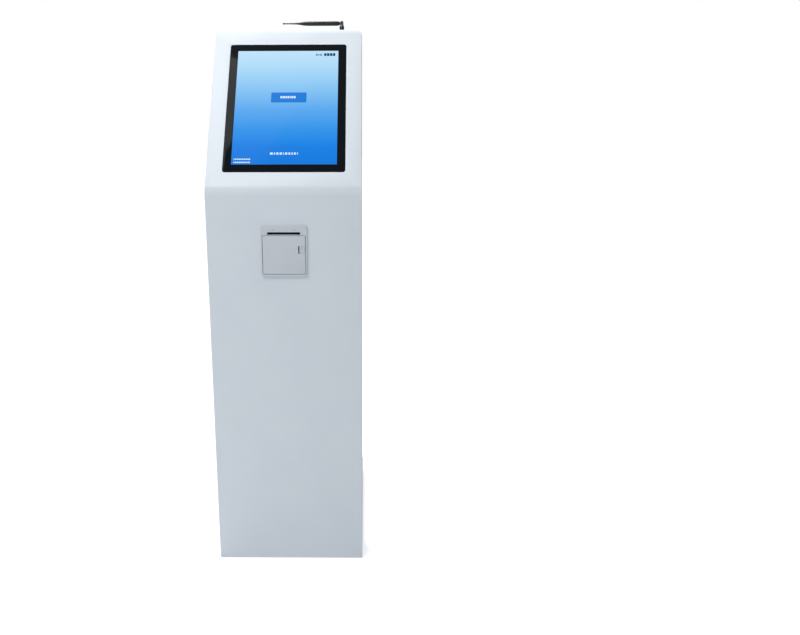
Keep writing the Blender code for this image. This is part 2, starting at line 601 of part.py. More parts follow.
def cam_lock(prefix, frame, face, x, z, down):
    """Cam lock with its key in it, and a spare key hanging from the key's ring."""
    back = face - LOCK_BODY_DEPTH
    bore = LOCK_PLUG_RADIUS + RUNNING
    seat = LOCK_BODY_DEPTH + GAP
    finish(prefix + "_lock_barrel",
           turned("y", (x, back, z), [(bore, 0), (LOCK_BODY_RADIUS, 0), (LOCK_BODY_RADIUS, seat),
                                      (LOCK_RIM_RADIUS, seat), (LOCK_RIM_RADIUS, seat + LOCK_RIM / 2),
                                      (LOCK_RIM_RADIUS - LOCK_RIM / 2, seat + LOCK_RIM),
                                      (bore, seat + LOCK_RIM)]), "nickel", frame, smooth=True)
    hex_turn = math.cos(math.pi / 6)
    nut_bore = (LOCK_BODY_RADIUS + GAP) / hex_turn
    finish(prefix + "_lock_nut",
           turned("y", (x, face - SHEET - GAP - LOCK_NUT, z),
                  [(nut_bore, 0), (LOCK_NUT_RADIUS, 0), (LOCK_NUT_RADIUS, LOCK_NUT),
                   (nut_bore, LOCK_NUT)], 6), "bright_zinc", frame)
    axis = (x, face, z)
    plug_front = face + LOCK_RIM - GAP
    plug = finish(prefix + "_lock_plug", rod("y", (x, back, z), LOCK_PLUG_RADIUS, plug_front - back),
                  "nickel", frame, axis, True)
    blade_tip = back + KEY_THICKNESS
    slot_half, slot_tall = KEY_THICKNESS / 2 + GAP, KEY_BLADE / 2 + GAP
    boolean(plug, block((x - slot_half, blade_tip - GAP, z - slot_tall),
                        (x + slot_half, face + 2 * LOCK_RIM, z + slot_tall)), "DIFFERENCE", frame)
    cam_back = back - GAP - CAM_THICKNESS
    cam_end = LOCK_BODY_RADIUS + LOCK_NUT_RADIUS - 2 * GAP
    cam_outline = (arc((x, z), CAM_WIDTH / 2, 0, 180, 6)
                   + [(x - CAM_WIDTH / 2, z - cam_end), (x + CAM_WIDTH / 2, z - cam_end)])
    finish(prefix + "_lock_cam", prism(cam_outline, "y", cam_back, cam_back + CAM_THICKNESS),
           "bright_zinc", frame, axis)

    def key_shape(bow_middle, towards, hole_towards):
        """Flat key in the plane of y and z: blade and stem along towards, bow round bow_middle."""
        bow = bmesh.new()
        low = (x - KEY_THICKNESS / 2, *bow_middle)
        add_rod(bow, "x", low, BOW_RADIUS, KEY_THICKNESS, 20)
        hole_reach = BOW_RADIUS - BOW_STRIP - BOW_HOLE_RADIUS
        hole = (x - 2 * KEY_THICKNESS, *(Vector(bow_middle) + Vector(hole_towards) * hole_reach))
        blade_length = plug_front - blade_tip + KEY_STEM + BOW_RADIUS
        across = Vector((-towards[1], towards[0])) * (KEY_BLADE / 2)
        start, end = Vector(bow_middle), Vector(bow_middle) + Vector(towards) * blade_length
        blade = prism([tuple(start - across), tuple(end - across), tuple(end + across),
                       tuple(start + across)], "x", x - KEY_THICKNESS / 2, x + KEY_THICKNESS / 2)
        return bow, blade, rod("x", hole, BOW_HOLE_RADIUS, 4 * KEY_THICKNESS, 16)

    bow_middle = (plug_front + KEY_STEM + BOW_RADIUS, z)
    bow, blade, hole = key_shape(bow_middle, (-1, 0), down)
    key = finish(prefix + "_key", bow, "nickel", frame, axis, True)
    boolean(key, blade, "UNION", frame)
    boolean(key, hole, "DIFFERENCE", frame)

    strip = Vector(bow_middle) + Vector(down) * (BOW_RADIUS - BOW_STRIP / 2)
    ring_middle = strip + Vector(down) * (RING_RADIUS - RING_SLACK)
    ring = bmesh.new()
    lean = math.atan2(down[0], -down[1])
    circle = bmesh.ops.create_circle(ring, segments=6, radius=RING_WIRE,
                                     matrix=Matrix.Translation((RING_RADIUS, 0, 0))
                                     @ Matrix.Rotation(math.pi / 2, 4, "X"))["verts"]
    edges = list({edge for vert in circle for edge in vert.link_edges})
    bmesh.ops.spin(ring, geom=circle + edges, cent=(0, 0, 0), axis=(0, 0, 1),
                   angle=2 * math.pi, steps=20, use_merge=True)
    bmesh.ops.transform(ring, verts=ring.verts,
                        matrix=Matrix.Translation((x, *ring_middle))
                        @ Matrix.Rotation(lean - math.pi / 2, 4, "X"))
    finish(prefix + "_key_ring", ring, "bright_zinc", frame, (x, *strip), True)
    hang = ring_middle + Vector(down) * RING_RADIUS
    spare_bow = hang + Vector(down) * (BOW_RADIUS - BOW_STRIP - RING_WIRE - GAP)
    bow, blade, hole = key_shape(tuple(spare_bow), down, (-down[0], -down[1]))
    spare = finish(prefix + "_spare_key", bow, "nickel", frame, (x, *hang), True)
    boolean(spare, blade, "UNION", frame)
    boolean(spare, hole, "DIFFERENCE", frame)


rear_door("head_door", HEAD, HEAD_THICKNESS, head_door_rect, HEAD_LOUVRE_HEIGHTS, HEAD_LOCK_OFFSET,
          HEAD_LOCK_HEIGHT)
rear_door("column_door", CABINET, COLUMN_DEPTH, column_door_rect, COLUMN_LOUVRE_HEIGHTS,
          COLUMN_LOCK_OFFSET, COLUMN_LOCK_HEIGHT)
cam_lock("head", HEAD, HEAD_THICKNESS, HEAD_LOCK_OFFSET, HEAD_LOCK_HEIGHT,
         (math.sin(HEAD_TILT), -math.cos(HEAD_TILT)))
cam_lock("column", CABINET, COLUMN_DEPTH, COLUMN_LOCK_OFFSET, COLUMN_LOCK_HEIGHT, (0, -1))


# ---------------------------------------------------------------- touch screen and computer
glass_back = GLASS_THICKNESS
touch_glass = finish("touch_glass", solid_through([(glass_rect, GLASS_CORNER, 0),
                                                   (glass_rect, GLASS_CORNER, glass_back)], 4),
                     "black_glass", HEAD)
display_rect = (-DISPLAY_WIDTH / 2, DISPLAY_WIDTH / 2, GLASS_MIDDLE - DISPLAY_HEIGHT / 2,
                GLASS_MIDDLE + DISPLAY_HEIGHT / 2)
display_front = glass_back + GAP
display_back = display_front + DISPLAY_THICKNESS
finish("lcd_panel", solid_through([(display_rect, 0, display_front), (display_rect, 0, display_back)]),
       "display", HEAD)
frame_inner = grown(display_rect, 2 * GAP)
frame_wall = grown(frame_inner, SHEET)
frame_flange = grown(glass_rect, GLASS_FLANGE)
finish("glass_mount_frame",
       ring_through([(frame_flange, 0, display_front), (frame_flange, 0, display_front + SHEET),
                     (frame_wall, 0, display_front + SHEET), (frame_wall, 0, display_back + SHEET),
                     (frame_inner, 0, display_back + SHEET), (frame_inner, 0, display_front)]),
       "bright_zinc", HEAD)
computer_width, computer_thick, computer_height = COMPUTER_SIZE
computer_front = display_back + 2 * GAP
computer_back = computer_front + computer_thick
computer_rect = (-computer_width / 2, computer_width / 2, GLASS_MIDDLE - computer_height / 2,
                 GLASS_MIDDLE + computer_height / 2)
computer = finish("mini_computer", solid_through([(computer_rect, 0, computer_front),
                                                  (computer_rect, 0, computer_back)]),
                  "black_plastic", HEAD)
fin_gaps = bmesh.new()
for i in range(FIN_COUNT):
    x = (i - (FIN_COUNT - 1) / 2) * FIN_PITCH
    add_block(fin_gaps, (x - FIN_GAP / 2, computer_back - FIN_DEPTH, computer_rect[2] + FIN_END),
              (x + FIN_GAP / 2, computer_back + FIN_DEPTH, computer_rect[3] - FIN_END))
boolean(computer, fin_gaps, "DIFFERENCE", HEAD)

# ---------------------------------------------------------------- power, cooling and sound
supply_width, supply_depth, supply_height = SUPPLY_SIZE
finish("power_supply", block((-supply_width / 2, SHEET + GAP, SUPPLY_BOTTOM),
                             (supply_width / 2, SHEET + GAP + supply_depth,
                              SUPPLY_BOTTOM + supply_height)), "bright_zinc")

fan_x, fan_z = LOUVRE_OFFSET, COLUMN_LOUVRE_HEIGHTS[2] - LOUVRE_SLOT / 2
fan_back = COLUMN_DEPTH - SHEET - GAP
fan_front = fan_back - FAN_DEPTH
fan_rect = (fan_x - FAN_SIZE / 2, fan_x + FAN_SIZE / 2, fan_z - FAN_SIZE / 2, fan_z + FAN_SIZE / 2)
door_pivot = (-COLUMN_DOOR_WIDTH / 2 + PIVOT_INSET, COLUMN_DEPTH - PIVOT_INSET, 0)
fan_bore = FAN_SIZE / 2 - FAN_WALL
fan_frame = finish("fan_frame", solid_through([(fan_rect, FAN_CORNER, fan_front),
                                               (fan_rect, FAN_CORNER, fan_back)], 3),
                   "black_plastic", CABINET, door_pivot)
boolean(fan_frame, rod("y", (fan_x, fan_front + FAN_WEB, fan_z), fan_bore, FAN_DEPTH, 28), "DIFFERENCE")
air_holes = bmesh.new()
for quarter in range(4):
    turn = math.pi / 4 + quarter * math.pi / 2
    reach = fan_bore * 0.62
    add_rod(air_holes, "y", (fan_x + reach * math.cos(turn), fan_front - FAN_WEB,
                             fan_z + reach * math.sin(turn)), fan_bore * 0.30, 3 * FAN_WEB, 16)
boolean(fan_frame, air_holes, "DIFFERENCE")
rotor_front, rotor_back = fan_front + FAN_WEB + 2 * GAP, fan_back - FAN_END_GAP
rotor = finish("fan_rotor", rod("y", (fan_x, rotor_front, fan_z), FAN_HUB_RADIUS,
                                rotor_back - rotor_front, 20),
               "black_plastic", CABINET, (fan_x, rotor_front, fan_z), True)
fan_blades = bmesh.new()
for i in range(FAN_BLADES):
    verts = add_block(fan_blades,
                      (FAN_HUB_RADIUS - FAN_WEB, -FAN_BLADE_THICKNESS / 2, -FAN_BLADE_CHORD / 2),
                      (fan_bore - SHEET, FAN_BLADE_THICKNESS / 2, FAN_BLADE_CHORD / 2))
    matrix = (Matrix.Translation((fan_x, (rotor_front + rotor_back) / 2, fan_z))
              @ Matrix.Rotation(2 * math.pi * i / FAN_BLADES, 4, "Y")
              @ Matrix.Rotation(FAN_BLADE_ANGLE, 4, "X"))
    bmesh.ops.transform(fan_blades, verts=verts, matrix=matrix)
boolean(rotor, fan_blades, "UNION")

speaker_x = -WIDTH / 2 + SHEET + GAP
speaker_y, speaker_z = SPEAKER_CENTRE
flange_half_y, flange_half_z = SPEAKER_FLANGE[0] / 2, SPEAKER_FLANGE[1] / 2
speaker = finish("speaker", block((speaker_x, speaker_y - flange_half_y, speaker_z - flange_half_z),
                                  (speaker_x + SPEAKER_FLANGE_THICKNESS, speaker_y + flange_half_y,
                                   speaker_z + flange_half_z)), "black_plastic")
cone_base = SPEAKER_FLANGE_THICKNESS / 2
boolean(speaker, turned("x", (speaker_x + cone_base, speaker_y, speaker_z),
                        [(0, 0), (SPEAKER_CONE_RADIUS, 0), (SPEAKER_MAGNET_RADIUS, SPEAKER_CONE_DEPTH),
                         (SPEAKER_MAGNET_RADIUS, SPEAKER_DEPTH), (0, SPEAKER_DEPTH)], 24), "UNION")

plate_back = COLUMN_DEPTH - CONNECTOR_PLATE_INSET
plate_front = plate_back - CONNECTOR_PLATE_THICKNESS
plate_rect = grown(cable_rect, CONNECTOR_PLATE_MARGIN)
connector_plate = finish("connector_plate", solid_through([(plate_rect, 0, plate_front),
                                                           (plate_rect, 0, plate_back)]),
                         "black_plastic")
inlet_x, switch_x = cable_rect[0] + INLET_FROM_EDGE, cable_rect[0] + SWITCH_FROM_EDGE
connector_z = (cable_rect[2] + cable_rect[3]) / 2
plate_holes = bmesh.new()
add_block(plate_holes, (inlet_x - INLET_WIDTH / 2 - GAP, plate_front - SHEET,
                        connector_z - INLET_HEIGHT / 2 - GAP),
          (inlet_x + INLET_WIDTH / 2 + GAP, plate_back + SHEET, connector_z + INLET_HEIGHT / 2 + GAP))
add_block(plate_holes, (switch_x - SWITCH_WIDTH / 2 - GAP, plate_front - SHEET,
                        connector_z - SWITCH_HEIGHT / 2 - SEAM),
          (switch_x + SWITCH_WIDTH / 2 + GAP, plate_back + SHEET, connector_z + SWITCH_HEIGHT / 2 + SEAM))
boolean(connector_plate, plate_holes, "DIFFERENCE")
inlet_front = plate_back - INLET_DEPTH
inlet = finish("power_inlet", block((inlet_x - INLET_WIDTH / 2, inlet_front,
                                     connector_z - INLET_HEIGHT / 2),
                                    (inlet_x + INLET_WIDTH / 2, plate_back + INLET_PROUD,
                                     connector_z + INLET_HEIGHT / 2)), "black_plastic")
socket_half_x, socket_half_z = INLET_SOCKET[0] / 2, INLET_SOCKET[1] / 2
boolean(inlet, block((inlet_x - socket_half_x, inlet_front + INLET_FLOOR, connector_z - socket_half_z),
                     (inlet_x + socket_half_x, plate_back + 2 * INLET_PROUD,
                      connector_z + socket_half_z)), "DIFFERENCE")
contacts = bmesh.new()
for x, z in ((-INLET_BLADE_SPREAD, -INLET_BLADE_DROP), (0, INLET_EARTH_RISE),
             (INLET_BLADE_SPREAD, -INLET_BLADE_DROP)):
    add_block(contacts, (inlet_x + x - INLET_BLADE[0] / 2, inlet_front + INLET_FLOOR / 2,
                         connector_z + z - INLET_BLADE[1] / 2),
              (inlet_x + x + INLET_BLADE[0] / 2, plate_back - INLET_FLOOR / 2,
               connector_z + z + INLET_BLADE[1] / 2))
boolean(inlet, contacts, "UNION")
rocker_pivot = plate_back - SWITCH_PIVOT_DEPTH
rocker_outline = [(rocker_pivot, connector_z - SWITCH_PIVOT_DEPTH),
                  (plate_back + PLASTIC_CORNER, connector_z - SWITCH_HEIGHT / 2),
                  (plate_back + PLASTIC_CORNER, connector_z),
                  (plate_back + SWITCH_PROUD, connector_z + SWITCH_HEIGHT / 2),
                  (rocker_pivot, connector_z + SWITCH_PIVOT_DEPTH)]
finish("power_switch", prism(rocker_outline, "x", switch_x - SWITCH_WIDTH / 2,
                             switch_x + SWITCH_WIDTH / 2),
       "black_plastic", CABINET, (switch_x, rocker_pivot, connector_z))

# ---------------------------------------------------------------- ticket printer
bezel_front = -GAP - BEZEL_PROUD
cover_opening = grown(cover_rect, COVER_GAP)
bezel = finish("printer_bezel",
               ring_through([(bezel_rect, BEZEL_CORNER, -GAP),
                             (bezel_rect, BEZEL_CORNER, bezel_front + BEZEL_EDGE),
                             (grown(bezel_rect, -BEZEL_EDGE), BEZEL_CORNER - BEZEL_EDGE, bezel_front),
                             (cover_opening, PLASTIC_CORNER, bezel_front),
                             (cover_opening, PLASTIC_CORNER, BEZEL_BACK),
                             (sleeve_rect, PLASTIC_CORNER, BEZEL_BACK),
                             (sleeve_rect, PLASTIC_CORNER, -GAP)], 4), "white_plastic")
slot_cut = block((-TICKET_SLOT_WIDTH / 2, bezel_front - SHEET, TICKET_SLOT_MIDDLE - TICKET_SLOT_HEIGHT / 2),
                 (TICKET_SLOT_WIDTH / 2, BEZEL_BACK + SHEET, TICKET_SLOT_MIDDLE + TICKET_SLOT_HEIGHT / 2))
boolean(bezel, slot_cut, "DIFFERENCE")
cover_pivot = (cover_rect[0] + PIVOT_INSET, bezel_front + COVER_PIN_DEPTH, 0)
pin_low = cover_rect[2] - COVER_PIN_REACH - BEZEL_EDGE
pin_high = cover_rect[3] + COVER_PIN_REACH
cover_back = bezel_front + COVER_LIP
cover_inner = grown(cover_rect, -PLASTIC_WALL)
cover = finish("printer_cover",
               solid_through([(cover_rect, PLASTIC_CORNER, bezel_front),
                              (cover_rect, PLASTIC_CORNER, cover_back),
                              (cover_inner, PLASTIC_CORNER, cover_back),
                              (cover_inner, PLASTIC_CORNER, bezel_front + PLASTIC_WALL)], 1),
               "white_plastic", CABINET, cover_pivot)
for piece in (bezel, cover):
    boolean(piece, rod("z", (cover_pivot[0], cover_pivot[1], pin_low - GAP), COVER_PIN_RADIUS + RUNNING,
                       pin_high - pin_low + 2 * GAP, 12), "DIFFERENCE")
finish("cover_hinge_pin", rod("z", (cover_pivot[0], cover_pivot[1], pin_low), COVER_PIN_RADIUS,
                              pin_high - pin_low, 12), "bright_zinc", CABINET, smooth=True)
latch_high_x = cover_rect[1] - LATCH_FROM_EDGE
latch_low_z = COVER_BOTTOM + LATCH_ABOVE_COVER
latch_rect = (latch_high_x - LATCH_WIDTH, latch_high_x, latch_low_z, latch_low_z + LATCH_HEIGHT)
latch_pocket = grown(latch_rect, GAP)
boolean(cover, block((latch_pocket[0] - LATCH_TRAVEL, bezel_front - SHEET, latch_pocket[2]),
                     (latch_pocket[1], bezel_front + LATCH_POCKET, latch_pocket[3])), "DIFFERENCE")
latch = finish("cover_latch", solid_through([(latch_rect, BEZEL_EDGE, bezel_front + GAP),
                                             (latch_rect, BEZEL_EDGE, bezel_front + LATCH_THICKNESS)], 2),
               "white_plastic", CABINET, (latch_rect[0], bezel_front, latch_rect[2]))
boolean(latch, block((latch_rect[0] + LATCH_POCKET, bezel_front - SHEET, latch_rect[2] + 2 * SHEET),
                     (latch_rect[1] - PLASTIC_WALL, bezel_front + SHEET, latch_rect[3] - 2 * SHEET)),
        "DIFFERENCE")

chassis_rect = grown(sleeve_rect, -PLASTIC_WALL / 2)
chassis_front, chassis_back = BEZEL_BACK + GAP, PRINTER_DEPTH
chassis_inner = grown(chassis_rect, -SHEET)
chassis = finish("printer_chassis",
                 solid_through([(chassis_rect, 0, chassis_back), (chassis_rect, 0, chassis_front),
                                (chassis_inner, 0, chassis_front),
                                (chassis_inner, 0, chassis_back - SHEET)]), "black_plastic")
roll_middle = (chassis_front + ROLL_RADIUS + ROLL_FRONT_ROOM,
               chassis_inner[2] + ROLL_RADIUS + ROLL_FLOOR_ROOM)
platen_middle = (chassis_front + PLATEN_DEPTH, TICKET_SLOT_MIDDLE - PLATEN_RADIUS + PLASTIC_WALL / 2)
boolean(chassis, rod("x", (chassis_rect[0] - SHEET, *platen_middle), AXLE_RADIUS + RUNNING, 2 * WIDTH, 16),
        "DIFFERENCE")
finish("paper_roll", turned("x", (-TICKET_WIDTH / 2 + PAPER_SLACK, *roll_middle),
                            [(ROLL_CORE_RADIUS, 0), (ROLL_RADIUS, 0),
                             (ROLL_RADIUS, TICKET_WIDTH - 2 * PAPER_SLACK),
                             (ROLL_CORE_RADIUS, TICKET_WIDTH - 2 * PAPER_SLACK)], 28),
       "paper", CABINET, (0, *roll_middle), True)
axle_length = chassis_rect[1] - chassis_rect[0] - 4 * GAP
rubber_start = (axle_length - TICKET_WIDTH) / 2 - 2 * PAPER_SLACK
rubber_end = axle_length - rubber_start
platen = finish("platen_roller", turned("x", (chassis_rect[0] + 2 * GAP, *platen_middle),
                                        [(0, 0), (AXLE_RADIUS, 0), (AXLE_RADIUS, rubber_start),
                                         (PLATEN_RADIUS, rubber_start), (PLATEN_RADIUS, rubber_end),
                                         (AXLE_RADIUS, rubber_end), (AXLE_RADIUS, axle_length),
                                         (0, axle_length)], 20),
                "soft_rubber", CABINET, (0, *platen_middle), True)


def gear_outline(middle, teeth, pitch_radius, tooth, first_turn):
    """A straight-sided spur gear: each tooth has a root, two flanks and a flat top."""
    points = []
    for i in range(teeth):
        for part, radius in ((-0.30, pitch_radius - tooth), (-0.12, pitch_radius + tooth * 0.8),
                             (0.12, pitch_radius + tooth * 0.8), (0.30, pitch_radius - tooth)):
            turn = 2 * math.pi * (i + part) / teeth + first_turn
            points.append((middle[0] + radius * math.cos(turn), middle[1] + radius * math.sin(turn)))
    return points


platen_pitch, pinion_pitch = GEAR_MODULE * PLATEN_TEETH / 2, GEAR_MODULE * PINION_TEETH / 2
gear_low = TICKET_WIDTH / 2 + MOTOR_FROM_GEAR + PAPER_SLACK
gear_high = gear_low + GEAR_WIDTH
pinion_middle = (platen_middle[0] + platen_pitch + pinion_pitch + GEAR_CLEARANCE, platen_middle[1])
gear = finish("platen_gear", prism(gear_outline(platen_middle, PLATEN_TEETH, platen_pitch, GEAR_MODULE, 0),
                                   "x", gear_low, gear_high), "white_plastic", CABINET,
              (0, *platen_middle))
boolean(gear, rod("x", (gear_low - GEAR_WIDTH, *platen_middle), AXLE_RADIUS + GAP, 3 * GEAR_WIDTH, 16),
        "DIFFERENCE")
pinion = finish("motor_pinion", prism(gear_outline(pinion_middle, PINION_TEETH, pinion_pitch, GEAR_MODULE,
                                                   math.pi + math.pi / PINION_TEETH),
                                      "x", gear_low, gear_high), "white_plastic", CABINET,
                (0, *pinion_middle))
motor_end = gear_low - MOTOR_FROM_GEAR
shaft_start = gear_low + PLASTIC_WALL - MOTOR_SHAFT_LENGTH
boolean(pinion, rod("x", (shaft_start, *pinion_middle), MOTOR_SHAFT_RADIUS, MOTOR_SHAFT_LENGTH, 12),
        "UNION")
motor = finish("feed_motor", rod("x", (motor_end - MOTOR_LENGTH, *pinion_middle), MOTOR_RADIUS,
                                 MOTOR_LENGTH, 24), "nickel", CABINET, smooth=True)
boolean(motor, rod("x", (shaft_start - GEAR_WIDTH, *pinion_middle), MOTOR_SHAFT_RADIUS + RUNNING,
                   MOTOR_SHAFT_LENGTH, 12), "DIFFERENCE")
print_head_bottom = platen_middle[1] + PLATEN_RADIUS + BEZEL_EDGE
finish("thermal_print_head", block((-TICKET_WIDTH / 2, platen_middle[0] - PRINT_HEAD_DEPTH / 2,
                                    print_head_bottom),
                                   (TICKET_WIDTH / 2, platen_middle[0] + PRINT_HEAD_DEPTH / 2,
                                    print_head_bottom + PRINT_HEAD_HEIGHT)), "green_board")

# ---------------------------------------------------------------- antenna
stem_base = (ANTENNA_OFFSET, ANTENNA_DEPTH)
collar_start = CONNECTOR_INSIDE + SHEET + GAP
collar_end = CONNECTOR_INSIDE + SHEET + CONNECTOR_TOP
finish("antenna_connector",
       turned("z", (*stem_base, HEAD_LENGTH - SHEET - CONNECTOR_INSIDE),
              [(0, 0), (CONNECTOR_RADIUS, 0), (CONNECTOR_RADIUS, collar_start),
               (CONNECTOR_COLLAR_RADIUS, collar_start), (CONNECTOR_COLLAR_RADIUS, collar_end),
               (0, collar_end)], 16), "nickel", HEAD, smooth=True)
knuckle_low = HEAD_LENGTH + CONNECTOR_TOP + GAP
knuckle_axis = HEAD_LENGTH + ANTENNA_STEM
knuckle = finish("antenna_knuckle",
                 turned("z", (*stem_base, knuckle_low),
                        [(0, 0), (KNUCKLE_RADIUS - BEZEL_EDGE, 0), (KNUCKLE_RADIUS, 2 * BEZEL_EDGE),
                         (KNUCKLE_RADIUS, KNUCKLE_HEIGHT), (0, KNUCKLE_HEIGHT)], 20),
                 "black_plastic", HEAD, (*stem_base, knuckle_low), True)
ear_bottom = knuckle_low + KNUCKLE_HEIGHT - PLASTIC_WALL
ear_outline = ([(ANTENNA_OFFSET + KNUCKLE_EAR_RADIUS, ear_bottom)]
               + arc((ANTENNA_OFFSET, knuckle_axis), KNUCKLE_EAR_RADIUS, 0, 180, 8)
               + [(ANTENNA_OFFSET - KNUCKLE_EAR_RADIUS, ear_bottom)])
for inner, outer in ((-KNUCKLE_EAR_OUTER, -KNUCKLE_EAR_INNER), (KNUCKLE_EAR_INNER, KNUCKLE_EAR_OUTER)):
    boolean(knuckle, prism(ear_outline, "y", ANTENNA_DEPTH + inner, ANTENNA_DEPTH + outer), "UNION", HEAD)
whip = finish("antenna_whip",
              turned("x", (ANTENNA_OFFSET, ANTENNA_DEPTH, knuckle_axis),
                     [(0, -WHIP_LENGTH), (WHIP_TIP_RADIUS, -WHIP_LENGTH + BEZEL_EDGE),
                      (WHIP_TIP_RADIUS, -WHIP_GRIP_END - 2 * WHIP_TAPER),
                      (WHIP_RADIUS, -WHIP_GRIP_END), (WHIP_RADIUS, -2 * WHIP_START),
                      (WHIP_RADIUS - WHIP_TIP_RADIUS, -WHIP_START), (0, -WHIP_START)], 20),
              "black_plastic", HEAD, (ANTENNA_OFFSET, ANTENNA_DEPTH, knuckle_axis), True)
boolean(whip, rod("y", (ANTENNA_OFFSET, ANTENNA_DEPTH - TONGUE_HALF, knuckle_axis), KNUCKLE_EAR_RADIUS,
                  2 * TONGUE_HALF, 16), "UNION", HEAD)
boolean(whip, block((ANTENNA_OFFSET - 2 * WHIP_START, ANTENNA_DEPTH - TONGUE_HALF,
                     knuckle_axis - WHIP_START / 2),
                    (ANTENNA_OFFSET, ANTENNA_DEPTH + TONGUE_HALF, knuckle_axis + WHIP_START / 2)),
        "UNION", HEAD)
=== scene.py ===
import json
import math

import bmesh
import bpy
from mathutils import Matrix, Vector


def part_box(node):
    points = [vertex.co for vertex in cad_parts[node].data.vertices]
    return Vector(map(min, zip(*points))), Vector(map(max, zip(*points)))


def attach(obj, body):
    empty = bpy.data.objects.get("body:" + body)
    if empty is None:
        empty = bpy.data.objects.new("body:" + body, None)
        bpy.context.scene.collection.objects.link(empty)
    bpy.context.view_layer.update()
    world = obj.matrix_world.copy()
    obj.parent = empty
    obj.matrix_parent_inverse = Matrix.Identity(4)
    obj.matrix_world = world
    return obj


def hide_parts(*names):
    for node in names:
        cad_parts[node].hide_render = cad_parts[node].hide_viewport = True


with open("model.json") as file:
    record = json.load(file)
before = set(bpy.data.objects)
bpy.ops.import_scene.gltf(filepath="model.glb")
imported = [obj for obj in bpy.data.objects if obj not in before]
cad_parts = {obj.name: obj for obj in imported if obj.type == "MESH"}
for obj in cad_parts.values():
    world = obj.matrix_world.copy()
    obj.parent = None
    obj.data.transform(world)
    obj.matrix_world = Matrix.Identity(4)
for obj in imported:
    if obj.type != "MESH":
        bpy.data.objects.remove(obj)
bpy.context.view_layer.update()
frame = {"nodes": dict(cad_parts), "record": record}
record = frame["record"]
bpy.context.scene.view_settings.view_transform = "Standard"

# ---- Camera ------------------------------------------------------------------------------------
# A person's eye height in front of the kiosk, a little to its right, with the lens shifted so that
# the kiosk stands in the left half of the frame.
camera_data = bpy.data.cameras.new("front_camera")
camera_data.lens = 31.2
camera_data.sensor_width = 36.0
camera_data.shift_x = 0.0528
camera_data.shift_y = -0.0968
camera_data.clip_start = 0.05
camera = bpy.data.objects.new("front_camera", camera_data)
camera.location = (0.208, -1.990, 1.255)
camera.rotation_euler = (math.radians(90 - 11.13), math.radians(0.15), math.radians(0.58))
bpy.context.collection.objects.link(camera)
bpy.context.scene.camera = camera


# ---- Studio ------------------------------------------------------------------------------------
# A plain pale floor that runs to a white surround, with a big soft light over the camera's left
# shoulder and a broad one behind for the back of the kiosk.
def linear(hex_colour):
    """The linear RGBA of an sRGB hex colour."""
    channels = [int(hex_colour[i:i + 2], 16) / 255 for i in (1, 3, 5)]
    return (*[c / 12.92 if c <= 0.04045 else ((c + 0.055) / 1.055) ** 2.4 for c in channels], 1.0)


def add_node(material, kind, inputs=None, **settings):
    """Adds a shader node, sets its fields, and fills or links its inputs by name or number."""
    tree = material.node_tree
    node = tree.nodes.new(kind)
    for field, value in settings.items():
        setattr(node, field, value)
    for socket, value in (inputs or {}).items():
        if isinstance(value, bpy.types.NodeSocket):
            tree.links.new(value, node.inputs[socket])
        else:
            node.inputs[socket].default_value = value
    return node


def principled(name, colour, roughness, **inputs):
    """A new material whose Principled shader has these uniform values."""
    material = bpy.data.materials.new(name)
    material.use_nodes = True
    shader = material.node_tree.nodes["Principled BSDF"]
    shader.inputs["Base Color"].default_value = linear(colour)
    shader.inputs["Roughness"].default_value = roughness
    for socket, value in inputs.items():
        shader.inputs[socket.replace("_", " ")].default_value = value
    return material, shader


floor_paint, shader = principled("studio_floor", "#DFE1E3", 0.85, Emission_Color=(1.0, 1.0, 1.0, 1.0))
# The lamps light the floor round the kiosk; further off a faint glow, which throws no light on the
# kiosk, keeps it as white.
floor_place = add_node(floor_paint, "ShaderNodeTexCoord").outputs["Object"]
distance = add_node(floor_paint, "ShaderNodeVectorMath", {0: floor_place}, operation="LENGTH")
floor_glow = add_node(floor_paint, "ShaderNodeMapRange", {"Value": distance.outputs["Value"], "From Min": 0.8,
                                                          "From Max": 3.0, "To Min": 0.60, "To Max": 1.0})
floor_seen = add_node(floor_paint, "ShaderNodeLightPath").outputs["Is Camera Ray"]
floor_light = add_node(floor_paint, "ShaderNodeMath", {0: floor_glow.outputs["Result"], 1: floor_seen},
                       operation="MULTIPLY")
floor_paint.node_tree.links.new(floor_light.outputs[0], shader.inputs["Emission Strength"])
floor_bm = bmesh.new()
bmesh.ops.create_grid(floor_bm, x_segments=1, y_segments=1, size=14.0)
floor_mesh = bpy.data.meshes.new("studio_floor")
floor_bm.to_mesh(floor_mesh)
floor_bm.free()
floor_mesh.materials.append(floor_paint)
floor = bpy.data.objects.new("studio_floor", floor_mesh)
bpy.context.collection.objects.link(floor)

# The surround is seen as plain white all round. What it throws on the kiosk is weaker at the back and
# the sides than in front, so that the white sheet metal still shows its form.
world = bpy.data.worlds.new("white_studio")
world.use_nodes = True
background = world.node_tree.nodes["Background"]
background.inputs["Color"].default_value = linear("#FFFFFF")
sky_way = add_node(world, "ShaderNodeTexCoord").outputs["Generated"]
sky_axes = add_node(world, "ShaderNodeSeparateXYZ", {"Vector": sky_way}).outputs
behind = add_node(world, "ShaderNodeMapRange", {"Value": sky_axes["Y"], "From Min": -0.2, "From Max": 0.45,
                                                "To Min": 0.60, "To Max": 0.19})
sideways = add_node(world, "ShaderNodeMath", {0: sky_axes["X"]}, operation="ABSOLUTE")
side_dim = add_node(world, "ShaderNodeMapRange", {"Value": sideways.outputs[0], "From Min": 0.58,
                                                  "From Max": 0.92, "To Min": 1.0, "To Max": 0.34})
glow = add_node(world, "ShaderNodeMath", {0: behind.outputs["Result"], 1: side_dim.outputs["Result"]},
                operation="MULTIPLY")
seen = add_node(world, "ShaderNodeLightPath").outputs["Is Camera Ray"]
strength = add_node(world, "ShaderNodeMath", {0: glow.outputs[0], 1: seen}, operation="MAXIMUM")
